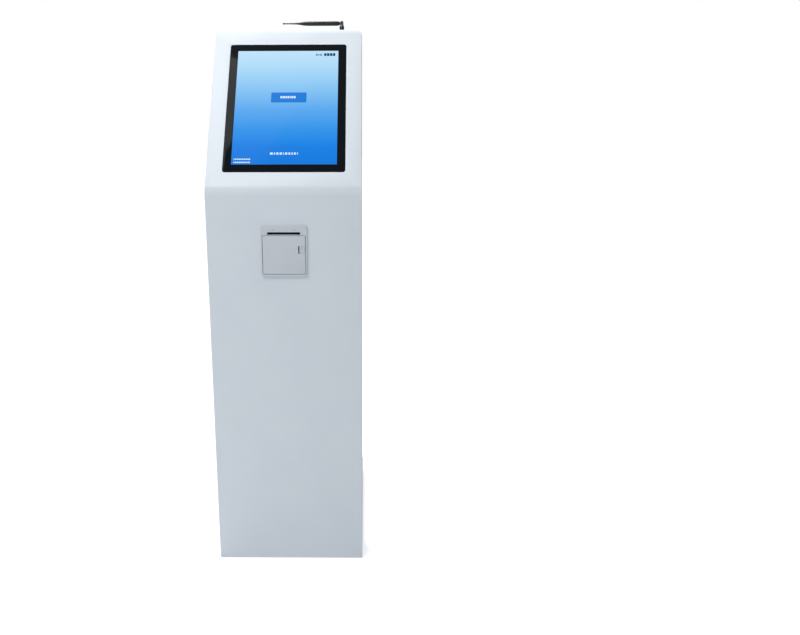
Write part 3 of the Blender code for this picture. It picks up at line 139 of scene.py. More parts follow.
world.node_tree.links.new(strength.outputs[0], background.inputs["Strength"])
bpy.context.scene.world = world


def area_light(name, location, target, size, power):
    light = bpy.data.lights.new(name, "AREA")
    light.shape = "SQUARE"
    light.size = size
    light.energy = power
    lamp = bpy.data.objects.new(name, light)
    lamp.location = location
    lamp.rotation_euler = (Vector(target) - Vector(location)).to_track_quat("-Z", "Y").to_euler()
    bpy.context.collection.objects.link(lamp)


area_light("key_light", (-1.5, -1.8, 3.9), (0, 0, 0.9), 2.0, 48)
area_light("rear_light", (-0.4, 0.9, 3.8), (0, 0.1, 0.6), 0.7, 72)

# ---- Housing -----------------------------------------------------------------------------------
# One folded and welded housing of 1.5 mm sheet steel: base box, slim column and tilted head share
# two side sheets, with a soft brake bend where the head leans back. It is powder coated white after
# welding, so seams are filled and every fold has a small round edge.
SHEET = 0.0015
STEP = 0.0003
TILT = math.radians(30)


def material_on(piece, material):
    piece.data.materials.clear()
    piece.data.materials.append(material)
    for polygon in piece.data.polygons:
        polygon.material_index = 0


def new_piece(name, bm, material, body="root", smooth_angle=35):
    """Makes an object of a finished bmesh, shaded smooth between its hard edges."""
    mesh = bpy.data.meshes.new(name)
    bm.normal_update()
    bm.to_mesh(mesh)
    bm.free()
    mesh.materials.append(material)
    mesh.shade_smooth()
    mesh.set_sharp_from_angle(angle=math.radians(smooth_angle))
    piece = bpy.data.objects.new(name, mesh)
    bpy.context.collection.objects.link(piece)
    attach(piece, body)
    return piece


# Powder coat: an even white with a very faint orange-peel skin and a soft satin gloss.
powder_coat, shader = principled("white_powder_coat", "#DCE2E8", 0.42, Specular_IOR_Level=0.5)
place = add_node(powder_coat, "ShaderNodeTexCoord").outputs["Object"]
# The peel is about 1.5 mm across; finer grit would vanish at any usual viewing size.
peel = add_node(powder_coat, "ShaderNodeTexNoise", {"Vector": place, "Scale": 1 / 0.0015, "Detail": 2.0})
bump = add_node(powder_coat, "ShaderNodeBump", {"Height": peel.outputs["Fac"], "Strength": 0.06,
                                                "Distance": 0.0003})
powder_coat.node_tree.links.new(bump.outputs["Normal"], shader.inputs["Normal"])
# Hands and dusting leave the coat slightly uneven in gloss over a hand's breadth.
rub = add_node(powder_coat, "ShaderNodeTexNoise", {"Vector": place, "Scale": 1 / 0.12, "Detail": 3.0})
gloss = add_node(powder_coat, "ShaderNodeMapRange", {"Value": rub.outputs["Fac"], "From Min": 0.3,
                                                     "From Max": 0.7, "To Min": 0.36, "To Max": 0.48})
powder_coat.node_tree.links.new(gloss.outputs["Result"], shader.inputs["Roughness"])
# Coat pools a touch thicker and cooler in places, by less than one per cent of its colour.
tint = add_node(powder_coat, "ShaderNodeMix", {"Factor": rub.outputs["Fac"], 6: linear("#E2ECF6"),
                                               7: linear("#E9F1F9")}, data_type="RGBA")
powder_coat.node_tree.links.new(tint.outputs[2], shader.inputs["Base Color"])

base_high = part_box("base_rear_skirt")[1]
side_low, side_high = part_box("right_side_plate")
column_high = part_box("column_rear_frame")[1]
half_width = side_high[0]
front_y = side_low[1]
column_rear = column_high[1]
base_rear = base_high[1]
base_top = base_high[2]
HEAD_LENGTH = 0.480
HEAD_THICKNESS = 0.050
BEND_HEIGHT = 1.040
LEDGE_HEIGHT = 0.990
NOTCH = 0.008


def head_point(x, depth, along):
    """World place of a point of the head: in from its front face, and up its slope from the bend."""
    return Vector((x, front_y + along * math.sin(TILT) + depth * math.cos(TILT),
                   BEND_HEIGHT + along * math.cos(TILT) - depth * math.sin(TILT)))


HEAD_PLACE = Matrix.Translation((0, front_y, BEND_HEIGHT)) @ Matrix.Rotation(-TILT, 4, "X")
BEND_RADIUS = 0.014
FOLD_RADIUS = 0.0026
HEAD_CORNER = 0.018
BASE_CORNER = 0.030
outline = [(front_y, 0.0), (front_y, BEND_HEIGHT)]
for along, depth in ((HEAD_LENGTH, 0), (HEAD_LENGTH, HEAD_THICKNESS), (NOTCH, HEAD_THICKNESS)):
    outline.append(tuple(head_point(0, depth, along).yz))
outline += [(column_rear, LEDGE_HEIGHT), (column_rear, base_top), (base_rear, base_top), (base_rear, 0.0)]

shell = bmesh.new()
side = shell.faces.new([shell.verts.new((-half_width, y, z)) for y, z in outline])
made = bmesh.ops.extrude_face_region(shell, geom=[side])
bmesh.ops.translate(shell, verts=[v for v in made["geom"] if isinstance(v, bmesh.types.BMVert)],
                    vec=(2 * half_width, 0, 0))
bmesh.ops.recalc_face_normals(shell, faces=shell.faces)


def bevel_edges(bm, chosen, radius, segments):
    bmesh.ops.bevel(bm, geom=chosen, offset=radius, offset_type="OFFSET", segments=segments,
                    profile=0.5, affect="EDGES", material=-1, clamp_overlap=False)


def edges_between(bm, first, second, near=1e-4):
    """Edges that join points lying near the given (y, z) places, at either side."""
    def at(vert, place):
        return abs(vert.co.y - place[0]) < near and abs(vert.co.z - place[1]) < near
    return [e for e in bm.edges if (at(e.verts[0], first) and at(e.verts[1], second))
            or (at(e.verts[1], first) and at(e.verts[0], second))]


bevel_edges(shell, edges_between(shell, outline[2], outline[3]), HEAD_CORNER, 10)
bevel_edges(shell, edges_between(shell, outline[7], outline[8]), BASE_CORNER, 12)
bevel_edges(shell, edges_between(shell, outline[1], outline[1]), BEND_RADIUS, 6)
floor_faces = [f for f in shell.faces if f.calc_center_median().z < 1e-5]
bmesh.ops.delete(shell, geom=floor_faces, context="FACES")
folds = [e for e in shell.edges if len(e.link_faces) == 2 and e.calc_face_angle() > math.radians(30)
         and not edges_between(shell, outline[5], outline[5]).count(e)]
bevel_edges(shell, folds, FOLD_RADIUS, 3)
bmesh.ops.remove_doubles(shell, verts=shell.verts, dist=1e-6)
housing = new_piece("housing", shell, powder_coat)
wall = housing.modifiers.new("sheet", "SOLIDIFY")
wall.thickness = SHEET
wall.offset = -1.0
wall.use_even_offset = True


def apply_modifiers(piece):
    graph = bpy.context.evaluated_depsgraph_get()
    mesh = bpy.data.meshes.new_from_object(piece.evaluated_get(graph))
    piece.modifiers.clear()
    piece.data = mesh


def block(low, high):
    """A box between two corners, for cutting or as a start."""
    bm = bmesh.new()
    size = [b - a for a, b in zip(low, high)]
    middle = [(a + b) / 2 for a, b in zip(low, high)]
    bmesh.ops.create_cube(bm, size=1, matrix=Matrix.Translation(middle) @ Matrix.Diagonal((*size, 1)))
    return bm


def cut_away(piece, bm, operation="DIFFERENCE"):
    """Cuts a bmesh out of a piece, and leaves nothing else behind."""
    mesh = bpy.data.meshes.new("cutter")
    bmesh.ops.recalc_face_normals(bm, faces=bm.faces)
    bm.to_mesh(mesh)
    bm.free()
    cutter = bpy.data.objects.new("cutter", mesh)
    bpy.context.collection.objects.link(cutter)
    cut = piece.modifiers.new("cut", "BOOLEAN")
    cut.object = cutter
    cut.operation = operation
    cut.solver = "EXACT"
    apply_modifiers(piece)
    bpy.data.objects.remove(cutter)


def rounded_block(low, high, radius, axis=1, segments=5):
    """A box whose four edges along one axis are rounded."""
    bm = block(low, high)
    along = [e for e in bm.edges if abs((e.verts[0].co - e.verts[1].co)[axis]) > 1e-6]
    bevel_edges(bm, along, radius, segments)
    return bm


apply_modifiers(housing)
GLASS = dict(width=0.315, height=0.380, bottom=0.051, corner=0.006, thickness=0.003)
window = rounded_block((-GLASS["width"] / 2 - 0.0006, -0.01, GLASS["bottom"] - 0.0006),
                       (GLASS["width"] / 2 + 0.0006, 0.008, GLASS["bottom"] + GLASS["height"] + 0.0006),
                       GLASS["corner"] + 0.0006)
bmesh.ops.transform(window, matrix=HEAD_PLACE, verts=window.verts)
cut_away(housing, window)
bezel_low, bezel_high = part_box("printer_bezel")
cut_away(housing, block((bezel_low[0] + 0.0025 - STEP, front_y - 0.01, bezel_low[2] + 0.0045 - STEP),
                        (bezel_high[0] - 0.0025 + STEP, front_y + 0.01, bezel_high[2] - 0.0045 + STEP)))
SEAM = 0.0015
HEAD_DOOR = (-0.195, 0.195, 0.016, 0.458)
head_opening = block((HEAD_DOOR[0] - SEAM, HEAD_THICKNESS - 0.012, HEAD_DOOR[2] - SEAM),
                     (HEAD_DOOR[1] + SEAM, HEAD_THICKNESS + 0.01, HEAD_DOOR[3] + SEAM))
bmesh.ops.transform(head_opening, matrix=HEAD_PLACE, verts=head_opening.verts)
cut_away(housing, head_opening)
door_low, door_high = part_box("column_door")
COLUMN_DOOR = (door_low[0], door_high[0], door_low[2], door_high[2])
cut_away(housing, block((COLUMN_DOOR[0] - SEAM, column_rear - 0.01, COLUMN_DOOR[2] - SEAM),
                        (COLUMN_DOOR[1] + SEAM, column_rear + 0.01, COLUMN_DOOR[3] + SEAM)))
CABLE_OPENING = (-0.100, 0.114, base_top + 0.004, base_top + 0.056)
cut_away(housing, rounded_block((CABLE_OPENING[0], column_rear - 0.01, CABLE_OPENING[2]),
                                (CABLE_OPENING[1], column_rear + 0.01, CABLE_OPENING[3]), 0.002, segments=3))
grille = bmesh.new()
speaker_low, speaker_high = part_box("speaker")
grille_y, grille_z = (speaker_low[1] + speaker_high[1]) / 2, (speaker_low[2] + speaker_high[2]) / 2
for column, count in enumerate((5, 6, 7, 6, 7, 6, 5)):
    for row in range(count):
        middle = (-half_width, grille_y + (column - 3) * 0.0052, grille_z + (row - (count - 1) / 2) * 0.010)
        bmesh.ops.create_cone(grille, cap_ends=True, segments=12, radius1=0.002, radius2=0.002,
                              depth=0.02,
                              matrix=Matrix.Translation(middle) @ Matrix.Rotation(math.pi / 2, 4, "Y"))
cut_away(housing, grille)
housing.data.shade_smooth()
housing.data.set_sharp_from_angle(angle=math.radians(25))
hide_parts("left_side_plate", "right_side_plate", "front_sheet", "head_top_wrap", "ledge_sheet",
            "base_deck", "base_rear_skirt")
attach(housing, "root")

# ---- Door rebates ------------------------------------------------------------------------------
# Behind each rear door's seam the housing's sheet is folded in twice: a reveal and a narrow stop lip
# that the shut door meets. The hinge side is left open, so the door's edge can swing in.
DOOR_STOP = 0.0033
LIP = 0.0055


def grown(rect, by):
    return (rect[0] - by, rect[1] + by, rect[2] - by, rect[3] + by)


def slab(rect, near, far):
    """A block over a rectangle (x0, x1, z0, z1) from one depth to another."""
    return block((rect[0], near, rect[2]), (rect[1], far, rect[3]))


def door_rebate(name, node, face, door, place):
    opening = grown(door, SEAM)
    reveal, lip = grown(opening, SHEET), grown(opening, -LIP)
    top, back = face - SHEET - STEP / 10, face - DOOR_STOP - SHEET
    rebate = new_piece(name, slab(reveal, back, top), powder_coat)
    cut_away(rebate, slab(opening, back + SHEET, face))
    cut_away(rebate, slab(lip, back - 0.001, face))
    cut_away(rebate, block((reveal[0] - 0.001, back - 0.001, reveal[2] - 0.001),
                           (opening[0] + 0.0155, face, reveal[3] + 0.001)))
    rebate.data.transform(place)
    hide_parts(node)


COLUMN_PLACE = Matrix.Translation((0, front_y, 0))
COLUMN_DEPTH = column_rear - front_y
door_rebate("column_door_rebate", "column_rear_frame", COLUMN_DEPTH, COLUMN_DOOR, COLUMN_PLACE)
door_rebate("head_door_rebate", "head_rear_frame", HEAD_THICKNESS, HEAD_DOOR, HEAD_PLACE)

# ---- Rear doors --------------------------------------------------------------------------------
# Flat sheet doors, coated like the housing, with a folded stiffening flange welded inside and small
# ears for their pivot pins. Air passes through rows of louvres that a press tool lanced and pushed
# outwards, each with its mouth facing down.
LOUVRE_WIDTH, LOUVRE_PITCH, LOUVRE_ROWS, LOUVRE_OFFSET = 0.062, 0.018, 5, 0.076
LOUVRE_RISE, LOUVRE_TALL = 0.0046, 0.0100
FLANGE_INSET, FLANGE_DEPTH = 0.032, 0.008


def louvre_hood(middle_x, mouth_z, face):
    """A pressed hood: flush at its top and ends, proud at its downward mouth."""
    hood = bmesh.new()
    bmesh.ops.create_grid(hood, x_segments=12, y_segments=4, size=1.0)
    for vert in hood.verts:
        across, up = vert.co.x, (vert.co.y + 1) / 2
        end = max(0.0, 1 - abs(across) ** 5) ** 0.5
        rise = LOUVRE_RISE * end * math.cos(up * math.pi / 2) ** 0.8
        vert.co = (middle_x + across * LOUVRE_WIDTH / 2, face + rise - 0.0004,
                   mouth_z + up * LOUVRE_TALL)
    hood.normal_update()
    bmesh.ops.solidify(hood, geom=hood.faces, thickness=0.0009)
    return hood


def joined(parts):
    """One bmesh of several."""
    whole = bmesh.new()
    for part in parts:
        mesh = bpy.data.meshes.new("part")
        part.to_mesh(mesh)
        part.free()
        whole.from_mesh(mesh)
        bpy.data.meshes.remove(mesh)
    return whole


def rear_door(name, face, rect, louvre_heights, lock_place, place):
    plate = block((rect[0], face - SHEET, rect[2]), (rect[1], face, rect[3]))
    bevel_edges(plate, plate.edges[:], 0.0005, 2)
    door = new_piece(name + "_sheet", plate, powder_coat, name)
    cuts, hoods = [], []
    for height in louvre_heights:
        for side in (-1, 1):
            for row in range(LOUVRE_ROWS):
                mouth = height + (row - (LOUVRE_ROWS - 1) / 2) * LOUVRE_PITCH - 0.004
                middle = side * LOUVRE_OFFSET
                half = LOUVRE_WIDTH / 2 - 0.003
                cuts.append(block((middle - half, face - 0.01, mouth + 0.0002),
                                  (middle + half, face + 0.01, mouth + 0.0055)))
                hoods.append(louvre_hood(middle, mouth, face))
    lock_hole = bmesh.new()
    bmesh.ops.create_cone(lock_hole, cap_ends=True, segments=40, radius1=0.0078, radius2=0.0078, depth=0.02,
                          matrix=Matrix.Translation((lock_place[0], face, lock_place[1]))
                          @ Matrix.Rotation(math.pi / 2, 4, "X"))
    cut_away(door, joined(cuts + [lock_hole]))
    door.data.transform(place)
    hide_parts(name)
    louvres = new_piece(name + "_louvres", joined(hoods), powder_coat, name, 50)
    louvres.data.transform(place)
    flange = grown(rect, -FLANGE_INSET)
    stiffener = slab(flange, face - FLANGE_DEPTH, face - SHEET - STEP / 10)
    for z in (rect[2] + 0.0015, rect[3] - 0.0075):
        stiffener = joined([stiffener, block((rect[0] + 0.0006, face - 0.0054, z),
                                             (rect[0] + 0.0075, face - SHEET - STEP / 10, z + 0.006))])
    stiffener = new_piece(name + "_stiffener", stiffener, powder_coat, name)
    cut_away(stiffener, slab(grown(flange, -SHEET), face - FLANGE_DEPTH - 0.001, face))
    stiffener.data.transform(place)


joints = {joint["name"]: joint for joint in record["behaviour"]["joints"]}
column_lock = Vector(joints["column_lock_turn"]["pos_m"])
head_lock = Vector(joints["head_lock_turn"]["pos_m"])
head_lock_along = (head_lock - head_point(head_lock.x, HEAD_THICKNESS, 0)).length
rear_door("column_door", COLUMN_DEPTH, COLUMN_DOOR, (0.225, 0.373, 0.671, 0.820),
          (column_lock.x, column_lock.z), COLUMN_PLACE)
rear_door("head_door", HEAD_THICKNESS, HEAD_DOOR, (0.128, 0.355), (head_lock.x, head_lock_along), HEAD_PLACE)

# ---- Cam locks and keys ------------------------------------------------------------------------
# Die-cast cam locks with a dulled nickel plate: a rimmed barrel, a plug with a keyway, a hexagon nut
# and a steel cam behind the door. Each holds a stamped key, and a spare hangs from its split ring.
# Nickel plate on die-cast zinc, dulled almost to gunmetal by handling.
nickel, shader = principled("dull_nickel_plate", "#5A5C5E", 0.34, Metallic=1.0)
place = add_node(nickel, "ShaderNodeTexCoord").outputs["Object"]
wear = add_node(nickel, "ShaderNodeTexNoise", {"Vector": place, "Scale": 1 / 0.004, "Detail": 4.0})
shine = add_node(nickel, "ShaderNodeMapRange", {"Value": wear.outputs["Fac"], "To Min": 0.26, "To Max": 0.44})
nickel.node_tree.links.new(shine.outputs["Result"], shader.inputs["Roughness"])
# Stamped key steel with a dark oxide: near black, brighter where fingers rub it.
key_steel, shader = principled("dark_key_steel", "#26282A", 0.38, Metallic=1.0)
place = add_node(key_steel, "ShaderNodeTexCoord").outputs["Object"]
wear = add_node(key_steel, "ShaderNodeTexNoise", {"Vector": place, "Scale": 1 / 0.003, "Detail": 5.0})
worn = add_node(key_steel, "ShaderNodeMix", {"Factor": wear.outputs["Fac"], 6: linear("#1E2022"),
                                             7: linear("#3C3E40")}, data_type="RGBA")
key_steel.node_tree.links.new(worn.outputs[2], shader.inputs["Base Color"])
# Bright zinc plate: a bluish grey with faint cloudy spangle a few millimetres across.
zinc, shader = principled("bright_zinc_plate", "#A9AEB3", 0.36, Metallic=1.0)
place = add_node(zinc, "ShaderNodeTexCoord").outputs["Object"]
spangle = add_node(zinc, "ShaderNodeTexVoronoi", {"Vector": place, "Scale": 1 / 0.006})
shine = add_node(zinc, "ShaderNodeMapRange", {"Value": spangle.outputs["Distance"], "To Min": 0.28,
                                              "To Max": 0.46})
zinc.node_tree.links.new(shine.outputs["Result"], shader.inputs["Roughness"])

BORE, BODY_RADIUS, RIM_RADIUS, PLUG_RADIUS = 0.00575, 0.0075, 0.0105, 0.0055
BODY_DEPTH, RIM = 0.0085, 0.0025
BOW_RADIUS, BOW_HOLE, BOW_STRIP, KEY_THICKNESS = 0.0115, 0.0042, 0.0028, 0.0020
RING_RADIUS, RING_WIRE, RING_SLACK = 0.0085, 0.0008, 0.0030
TURN_TO_Y = Matrix.Rotation(-math.pi / 2, 4, "X")


def turned(outline, steps=40, closed=False):
    """Spins an outline of (radius, height) round the Z axis into a closed solid."""
    bm = bmesh.new()
    points = [bm.verts.new((radius, 0, height)) for radius, height in outline]
    edges = [bm.edges.new(pair) for pair in zip(points, points[1:])]
    if closed:
        edges.append(bm.edges.new((points[-1], points[0])))
    bmesh.ops.spin(bm, geom=points + edges, cent=(0, 0, 0), axis=(0, 0, 1), angle=2 * math.pi,
                   steps=steps, use_merge=True)
    bmesh.ops.remove_doubles(bm, verts=bm.verts, dist=1e-6)
    bmesh.ops.recalc_face_normals(bm, faces=bm.faces)
    return bm


def key(name, body, bow_middle, blade_way, hole_way, place):
    """A stamped key in the YZ plane: round bow with a ring hole, a shoulder and a notched blade."""
    bow = bmesh.new()
    turn = Matrix.Rotation(math.pi / 2, 4, "Y")
    bmesh.ops.create_cone(bow, cap_ends=True, segments=48, radius1=BOW_RADIUS, radius2=BOW_RADIUS,
                          depth=KEY_THICKNESS, matrix=Matrix.Translation((0, *bow_middle)) @ turn)
    rims = [e for e in bow.edges if len(e.link_faces) == 2 and e.calc_face_angle() > 1]
    bevel_edges(bow, rims, 0.0004, 2)
    piece = new_piece(name, bow, key_steel, body)
    way = Vector((0, *blade_way))
    blade_turn = Vector((0, 0, -1)).rotation_difference(way).to_matrix().to_4x4()
    shoulder = rounded_block((-KEY_THICKNESS / 2 + 5e-5, -0.0046, -0.0165),
                             (KEY_THICKNESS / 2 - 5e-5, 0.0046, 0), 0.001, 0, 3)
    blade = block((-KEY_THICKNESS / 2 + 1e-4, -0.0034, -0.0290), (KEY_THICKNESS / 2 - 1e-4, 0.0034, 0))
    tip = [e for e in blade.edges if all(v.co.z < -0.028 for v in e.verts)
           and abs(e.verts[0].co.x - e.verts[1].co.x) > 1e-4]
    bevel_edges(blade, tip, 0.0022, 2)
    for part in (shoulder, blade):
        bmesh.ops.transform(part, verts=part.verts, matrix=Matrix.Translation((0, *bow_middle)) @ blade_turn)
        cut_away(piece, part, "UNION")
    notches = []
    for i, depth in enumerate((0.0008, 0.0014, 0.0006, 0.0012)):
        notch = block((-0.01, -0.0008, -0.0008), (0.01, 0.0008, 0.0008))
        spot = Matrix.Translation((0, 0.0040 - depth, -0.0185 - 0.0024 * i))
        bmesh.ops.transform(notch, verts=notch.verts, matrix=Matrix.Translation((0, *bow_middle)) @ blade_turn
                            @ spot @ Matrix.Rotation(math.pi / 4, 4, "X"))
        notches.append(notch)
    hole_middle = Vector((0, *bow_middle)) + Vector((0, *hole_way)) * (BOW_RADIUS - BOW_STRIP - BOW_HOLE)
    hole = bmesh.new()
    bmesh.ops.create_cone(hole, cap_ends=True, segments=32, radius1=BOW_HOLE, radius2=BOW_HOLE, depth=0.02,
                          matrix=Matrix.Translation(hole_middle) @ turn)
    cut_away(piece, joined(notches + [hole]))
    piece.data.transform(place)
    piece.data.shade_smooth()
    piece.data.set_sharp_from_angle(angle=math.radians(30))
    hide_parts(name.replace("_stamped", ""))
    return piece


def cam_lock(prefix, place, down):
    """place puts the lock's axis on the door's outer face, with Y outwards."""
    barrel = turned([(BORE, -BODY_DEPTH), (BODY_RADIUS, -BODY_DEPTH), (BODY_RADIUS, STEP), (RIM_RADIUS, STEP),
                     (RIM_RADIUS, RIM * 0.45), (RIM_RADIUS - 0.0005, RIM * 0.75), (RIM_RADIUS - 0.0014, RIM),
                     (BORE + 0.0006, RIM), (BORE, RIM - 0.0004)], 56, True)
    barrel = new_piece(prefix + "_lock_rim", barrel, nickel, prefix + "_door", 40)
    barrel.data.transform(place @ TURN_TO_Y)
    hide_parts(prefix + "_lock_barrel")
    plug = turned([(0, -BODY_DEPTH), (PLUG_RADIUS, -BODY_DEPTH), (PLUG_RADIUS, RIM - 0.0007),
                   (PLUG_RADIUS - 0.0004, RIM - STEP), (0, RIM - STEP)], 48)
    plug = new_piece(prefix + "_keyed_plug", plug, nickel, prefix + "_lock_plug", 40)
    keyway = block((-0.0013, -0.0038, -0.0067), (0.0013, 0.0038, 0.01))
    cut_away(plug, keyway)
    plug.data.transform(place @ TURN_TO_Y)
    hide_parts(prefix + "_lock_plug")
    bow = (RIM - STEP + 0.009 + BOW_RADIUS, 0)
    key(prefix + "_stamped_key", prefix + "_key", bow, (-1, 0), down, place)
    bow_world = place @ Vector((0, *bow))
    strip = bow_world - Vector((0, 0, BOW_RADIUS - BOW_STRIP / 2))
    ring_middle = strip - Vector((0, 0, RING_RADIUS - RING_SLACK))
    wire = bmesh.new()
    circle = bmesh.ops.create_circle(wire, segments=12, radius=RING_WIRE,
                                     matrix=Matrix.Translation((RING_RADIUS, 0, 0))
                                     @ Matrix.Rotation(math.pi / 2, 4, "X"))["verts"]
    bmesh.ops.spin(wire, geom=circle + wire.edges[:], cent=(0, 0, 0), axis=(0, 0, 1), angle=2 * math.pi,
                   steps=48, use_merge=True)
    bmesh.ops.recalc_face_normals(wire, faces=wire.faces)
    ring = new_piece(prefix + "_split_ring", wire, zinc, prefix + "_key_ring", 60)
    ring.data.transform(Matrix.Translation(ring_middle) @ Matrix.Rotation(math.pi / 2, 4, "X"))
    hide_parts(prefix + "_key_ring")
    hang = ring_middle - Vector((0, 0, RING_RADIUS))
    spare_bow = hang - Vector((0, 0, BOW_RADIUS - BOW_STRIP - RING_WIRE - STEP))
    key(prefix + "_stamped_spare_key", prefix + "_spare_key", (0, 0), (0, -1), (0, 1),
        Matrix.Translation(spare_bow))


cam_lock("column", Matrix.Translation(column_lock), (0, -1))
cam_lock("head", Matrix.Translation(head_lock) @ Matrix.Rotation(-TILT, 4, "X"),
         (math.sin(TILT), -math.cos(TILT)))
for prefix in ("column", "head"):
    for part in ("lock_nut", "lock_cam", "door_lower_pivot_pin", "door_upper_pivot_pin"):
        material_on(frame["nodes"][prefix + "_" + part], zinc)

# ---- Touch screen ------------------------------------------------------------------------------
# A 17-inch portrait panel behind a flush sheet of touch glass with a black printed border and round
# corners. The glass is toughened soda-lime with ground edges, set flush in the housing's window.
# Black ceramic ink seen through clear glass: deep, glossy and hardly reflecting from the front.
glass_black, shader = principled("black_bordered_glass", "#0B1117", 0.07, Specular_IOR_Level=0.10)
place = add_node(glass_black, "ShaderNodeTexCoord").outputs["Object"]
# Fingers leave a haze that only shows in the sheen, a few centimetres across.
haze = add_node(glass_black, "ShaderNodeTexNoise", {"Vector": place, "Scale": 1 / 0.03, "Detail": 4.0})
sheen = add_node(glass_black, "ShaderNodeMapRange", {"Value": haze.outputs["Fac"], "From Min": 0.35,
                                                     "From Max": 0.75, "To Min": 0.05, "To Max": 0.13})
glass_black.node_tree.links.new(sheen.outputs["Result"], shader.inputs["Roughness"])

glass_low = (-GLASS["width"] / 2, 0.0, GLASS["bottom"])
glass_high = (GLASS["width"] / 2, GLASS["thickness"], GLASS["bottom"] + GLASS["height"])
glass_bm = rounded_block(glass_low, glass_high, GLASS["corner"])
ground_edges = [e for e in glass_bm.edges if all(abs(v.co.y) < 1e-6 for v in e.verts)]
bevel_edges(glass_bm, ground_edges, 0.0004, 2)
glass = new_piece("touch_glass_sheet", glass_bm, glass_black)
glass.data.transform(HEAD_PLACE)
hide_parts("touch_glass")

# The lit picture is a backlit liquid crystal: a pale sky blue at the top that deepens downwards.
PICTURE_WIDTH, PICTURE_HEIGHT, PICTURE_BOTTOM = 0.272, 0.339, 0.0722
SKIN = 0.00002
picture_light, shader = principled("lit_blue_picture", "#04070B", 0.08, Specular_IOR_Level=0.03,
                                   Emission_Strength=0.97)
place = add_node(picture_light, "ShaderNodeTexCoord").outputs["Object"]
up_slope = add_node(picture_light, "ShaderNodeVectorMath",
                    {0: place, 1: (0.0, math.sin(TILT), math.cos(TILT))}, operation="DOT_PRODUCT")
bend = front_y * math.sin(TILT) + BEND_HEIGHT * math.cos(TILT)
rise = add_node(picture_light, "ShaderNodeMapRange", {"Value": up_slope.outputs["Value"],
                                                      "From Min": bend + PICTURE_BOTTOM,
                                                      "From Max": bend + PICTURE_BOTTOM + PICTURE_HEIGHT})
blues = add_node(picture_light, "ShaderNodeValToRGB", {"Fac": rise.outputs["Result"]})
ramp = blues.color_ramp
ramp.elements[0].color = linear("#177BE0")
ramp.elements[1].color = linear("#C4E8FE")
for where, blue in ((0.14, "#1C82E7"), (0.29, "#3496ED"), (0.47, "#5DACF2"), (0.68, "#8FCBF8"),
                    (0.86, "#B2DFFC")):
    ramp.elements.new(where).color = linear(blue)
picture_light.node_tree.links.new(blues.outputs["Color"], shader.inputs["Emission Color"])


def on_screen(name, boxes, material, layer, corner=0.0):
    """Flat shapes on the glass: each box is (x0, x1, low, high) on the head's slope."""
    parts = []
    for x0, x1, low_edge, high_edge in boxes:
        part = block((x0, -layer * SKIN, low_edge), (x1, 0.0002, high_edge))
        if corner:
            upright = [e for e in part.edges if abs((e.verts[0].co - e.verts[1].co).y) > 1e-6]
            bevel_edges(part, upright, corner, 4)
        parts.append(part)
    piece = new_piece(name, joined(parts), material)
    piece.data.transform(HEAD_PLACE)


on_screen("lit_picture", [(-PICTURE_WIDTH / 2, PICTURE_WIDTH / 2, PICTURE_BOTTOM,
                           PICTURE_BOTTOM + PICTURE_HEIGHT)], picture_light, 1)


def lit_colour(name, colour):
    """One flat colour of the display, as bright as the picture round it."""
    material, shader = principled(name, "#04070B", 0.08, Specular_IOR_Level=0.03, Emission_Strength=0.97,
                                  Emission_Color=linear(colour))
    # The panel's rows of dots are a quarter of a millimetre apart, and show only very close.
    place = add_node(material, "ShaderNodeTexCoord").outputs["Object"]
    rows = add_node(material, "ShaderNodeTexWave", {"Vector": place, "Scale": 1 / 0.005},
                    bands_direction="Z")
    level = add_node(material, "ShaderNodeMapRange", {"Value": rows.outputs["Fac"], "To Min": 0.93,
                                                      "To Max": 1.0})
    material.node_tree.links.new(level.outputs["Result"], shader.inputs["Emission Strength"])
    return material


button_blue = lit_colour("lit_button_blue", "#207EDD")
mark_white = lit_colour("lit_mark_white", "#DDF1FF")
mark_navy = lit_colour("lit_mark_navy", "#1D3E66")
mark_grey = lit_colour("lit_mark_grey", "#5E86A6")
on_screen("screen_button", [(-0.041, 0.053, 0.2524, 0.2825)], button_blue, 2, 0.002)


def row_of_marks(start, widths, space, low_edge, tall):
    """Small blocks in a row, as unreadable as distant lettering."""
    boxes = []
    for width in widths:
        boxes.append((start, start + width, low_edge, low_edge + tall))
        start += width + space
    return boxes


on_screen("button_marks", row_of_marks(-0.0165, (0.0052, 0.0058, 0.0044, 0.0052, 0.0022, 0.0050, 0.0056),
                                       0.0012, 0.2650, 0.0068), mark_white, 3, 0.0010)
on_screen("corner_marks", row_of_marks(0.0975, (0.0064, 0.0066, 0.0066, 0.0064), 0.0014, 0.3950, 0.0088),
          mark_navy, 3, 0.0012)
on_screen("corner_faint_marks", row_of_marks(0.0750, (0.0050, 0.0030, 0.0050), 0.0018, 0.3960, 0.0056),
          mark_grey, 3, 0.0010)
foot_widths = (0.0075, 0.0030, 0.0060, 0.0060, 0.0024, 0.0060, 0.0050, 0.0036, 0.0052, 0.0022)
on_screen("foot_marks", row_of_marks(-0.0370, foot_widths, 0.0028, 0.1000, 0.0062), mark_white, 3, 0.0008)
footnote_widths = (0.0016, 0.0040, 0.0044, 0.0052, 0.0044, 0.0050, 0.0046, 0.0050)
for name, low_edge in (("upper_footnote", 0.0855), ("lower_footnote", 0.0765)):
    on_screen(name, row_of_marks(-0.1300, footnote_widths, 0.0012, low_edge, 0.0036), mark_white, 3, 0.0006)

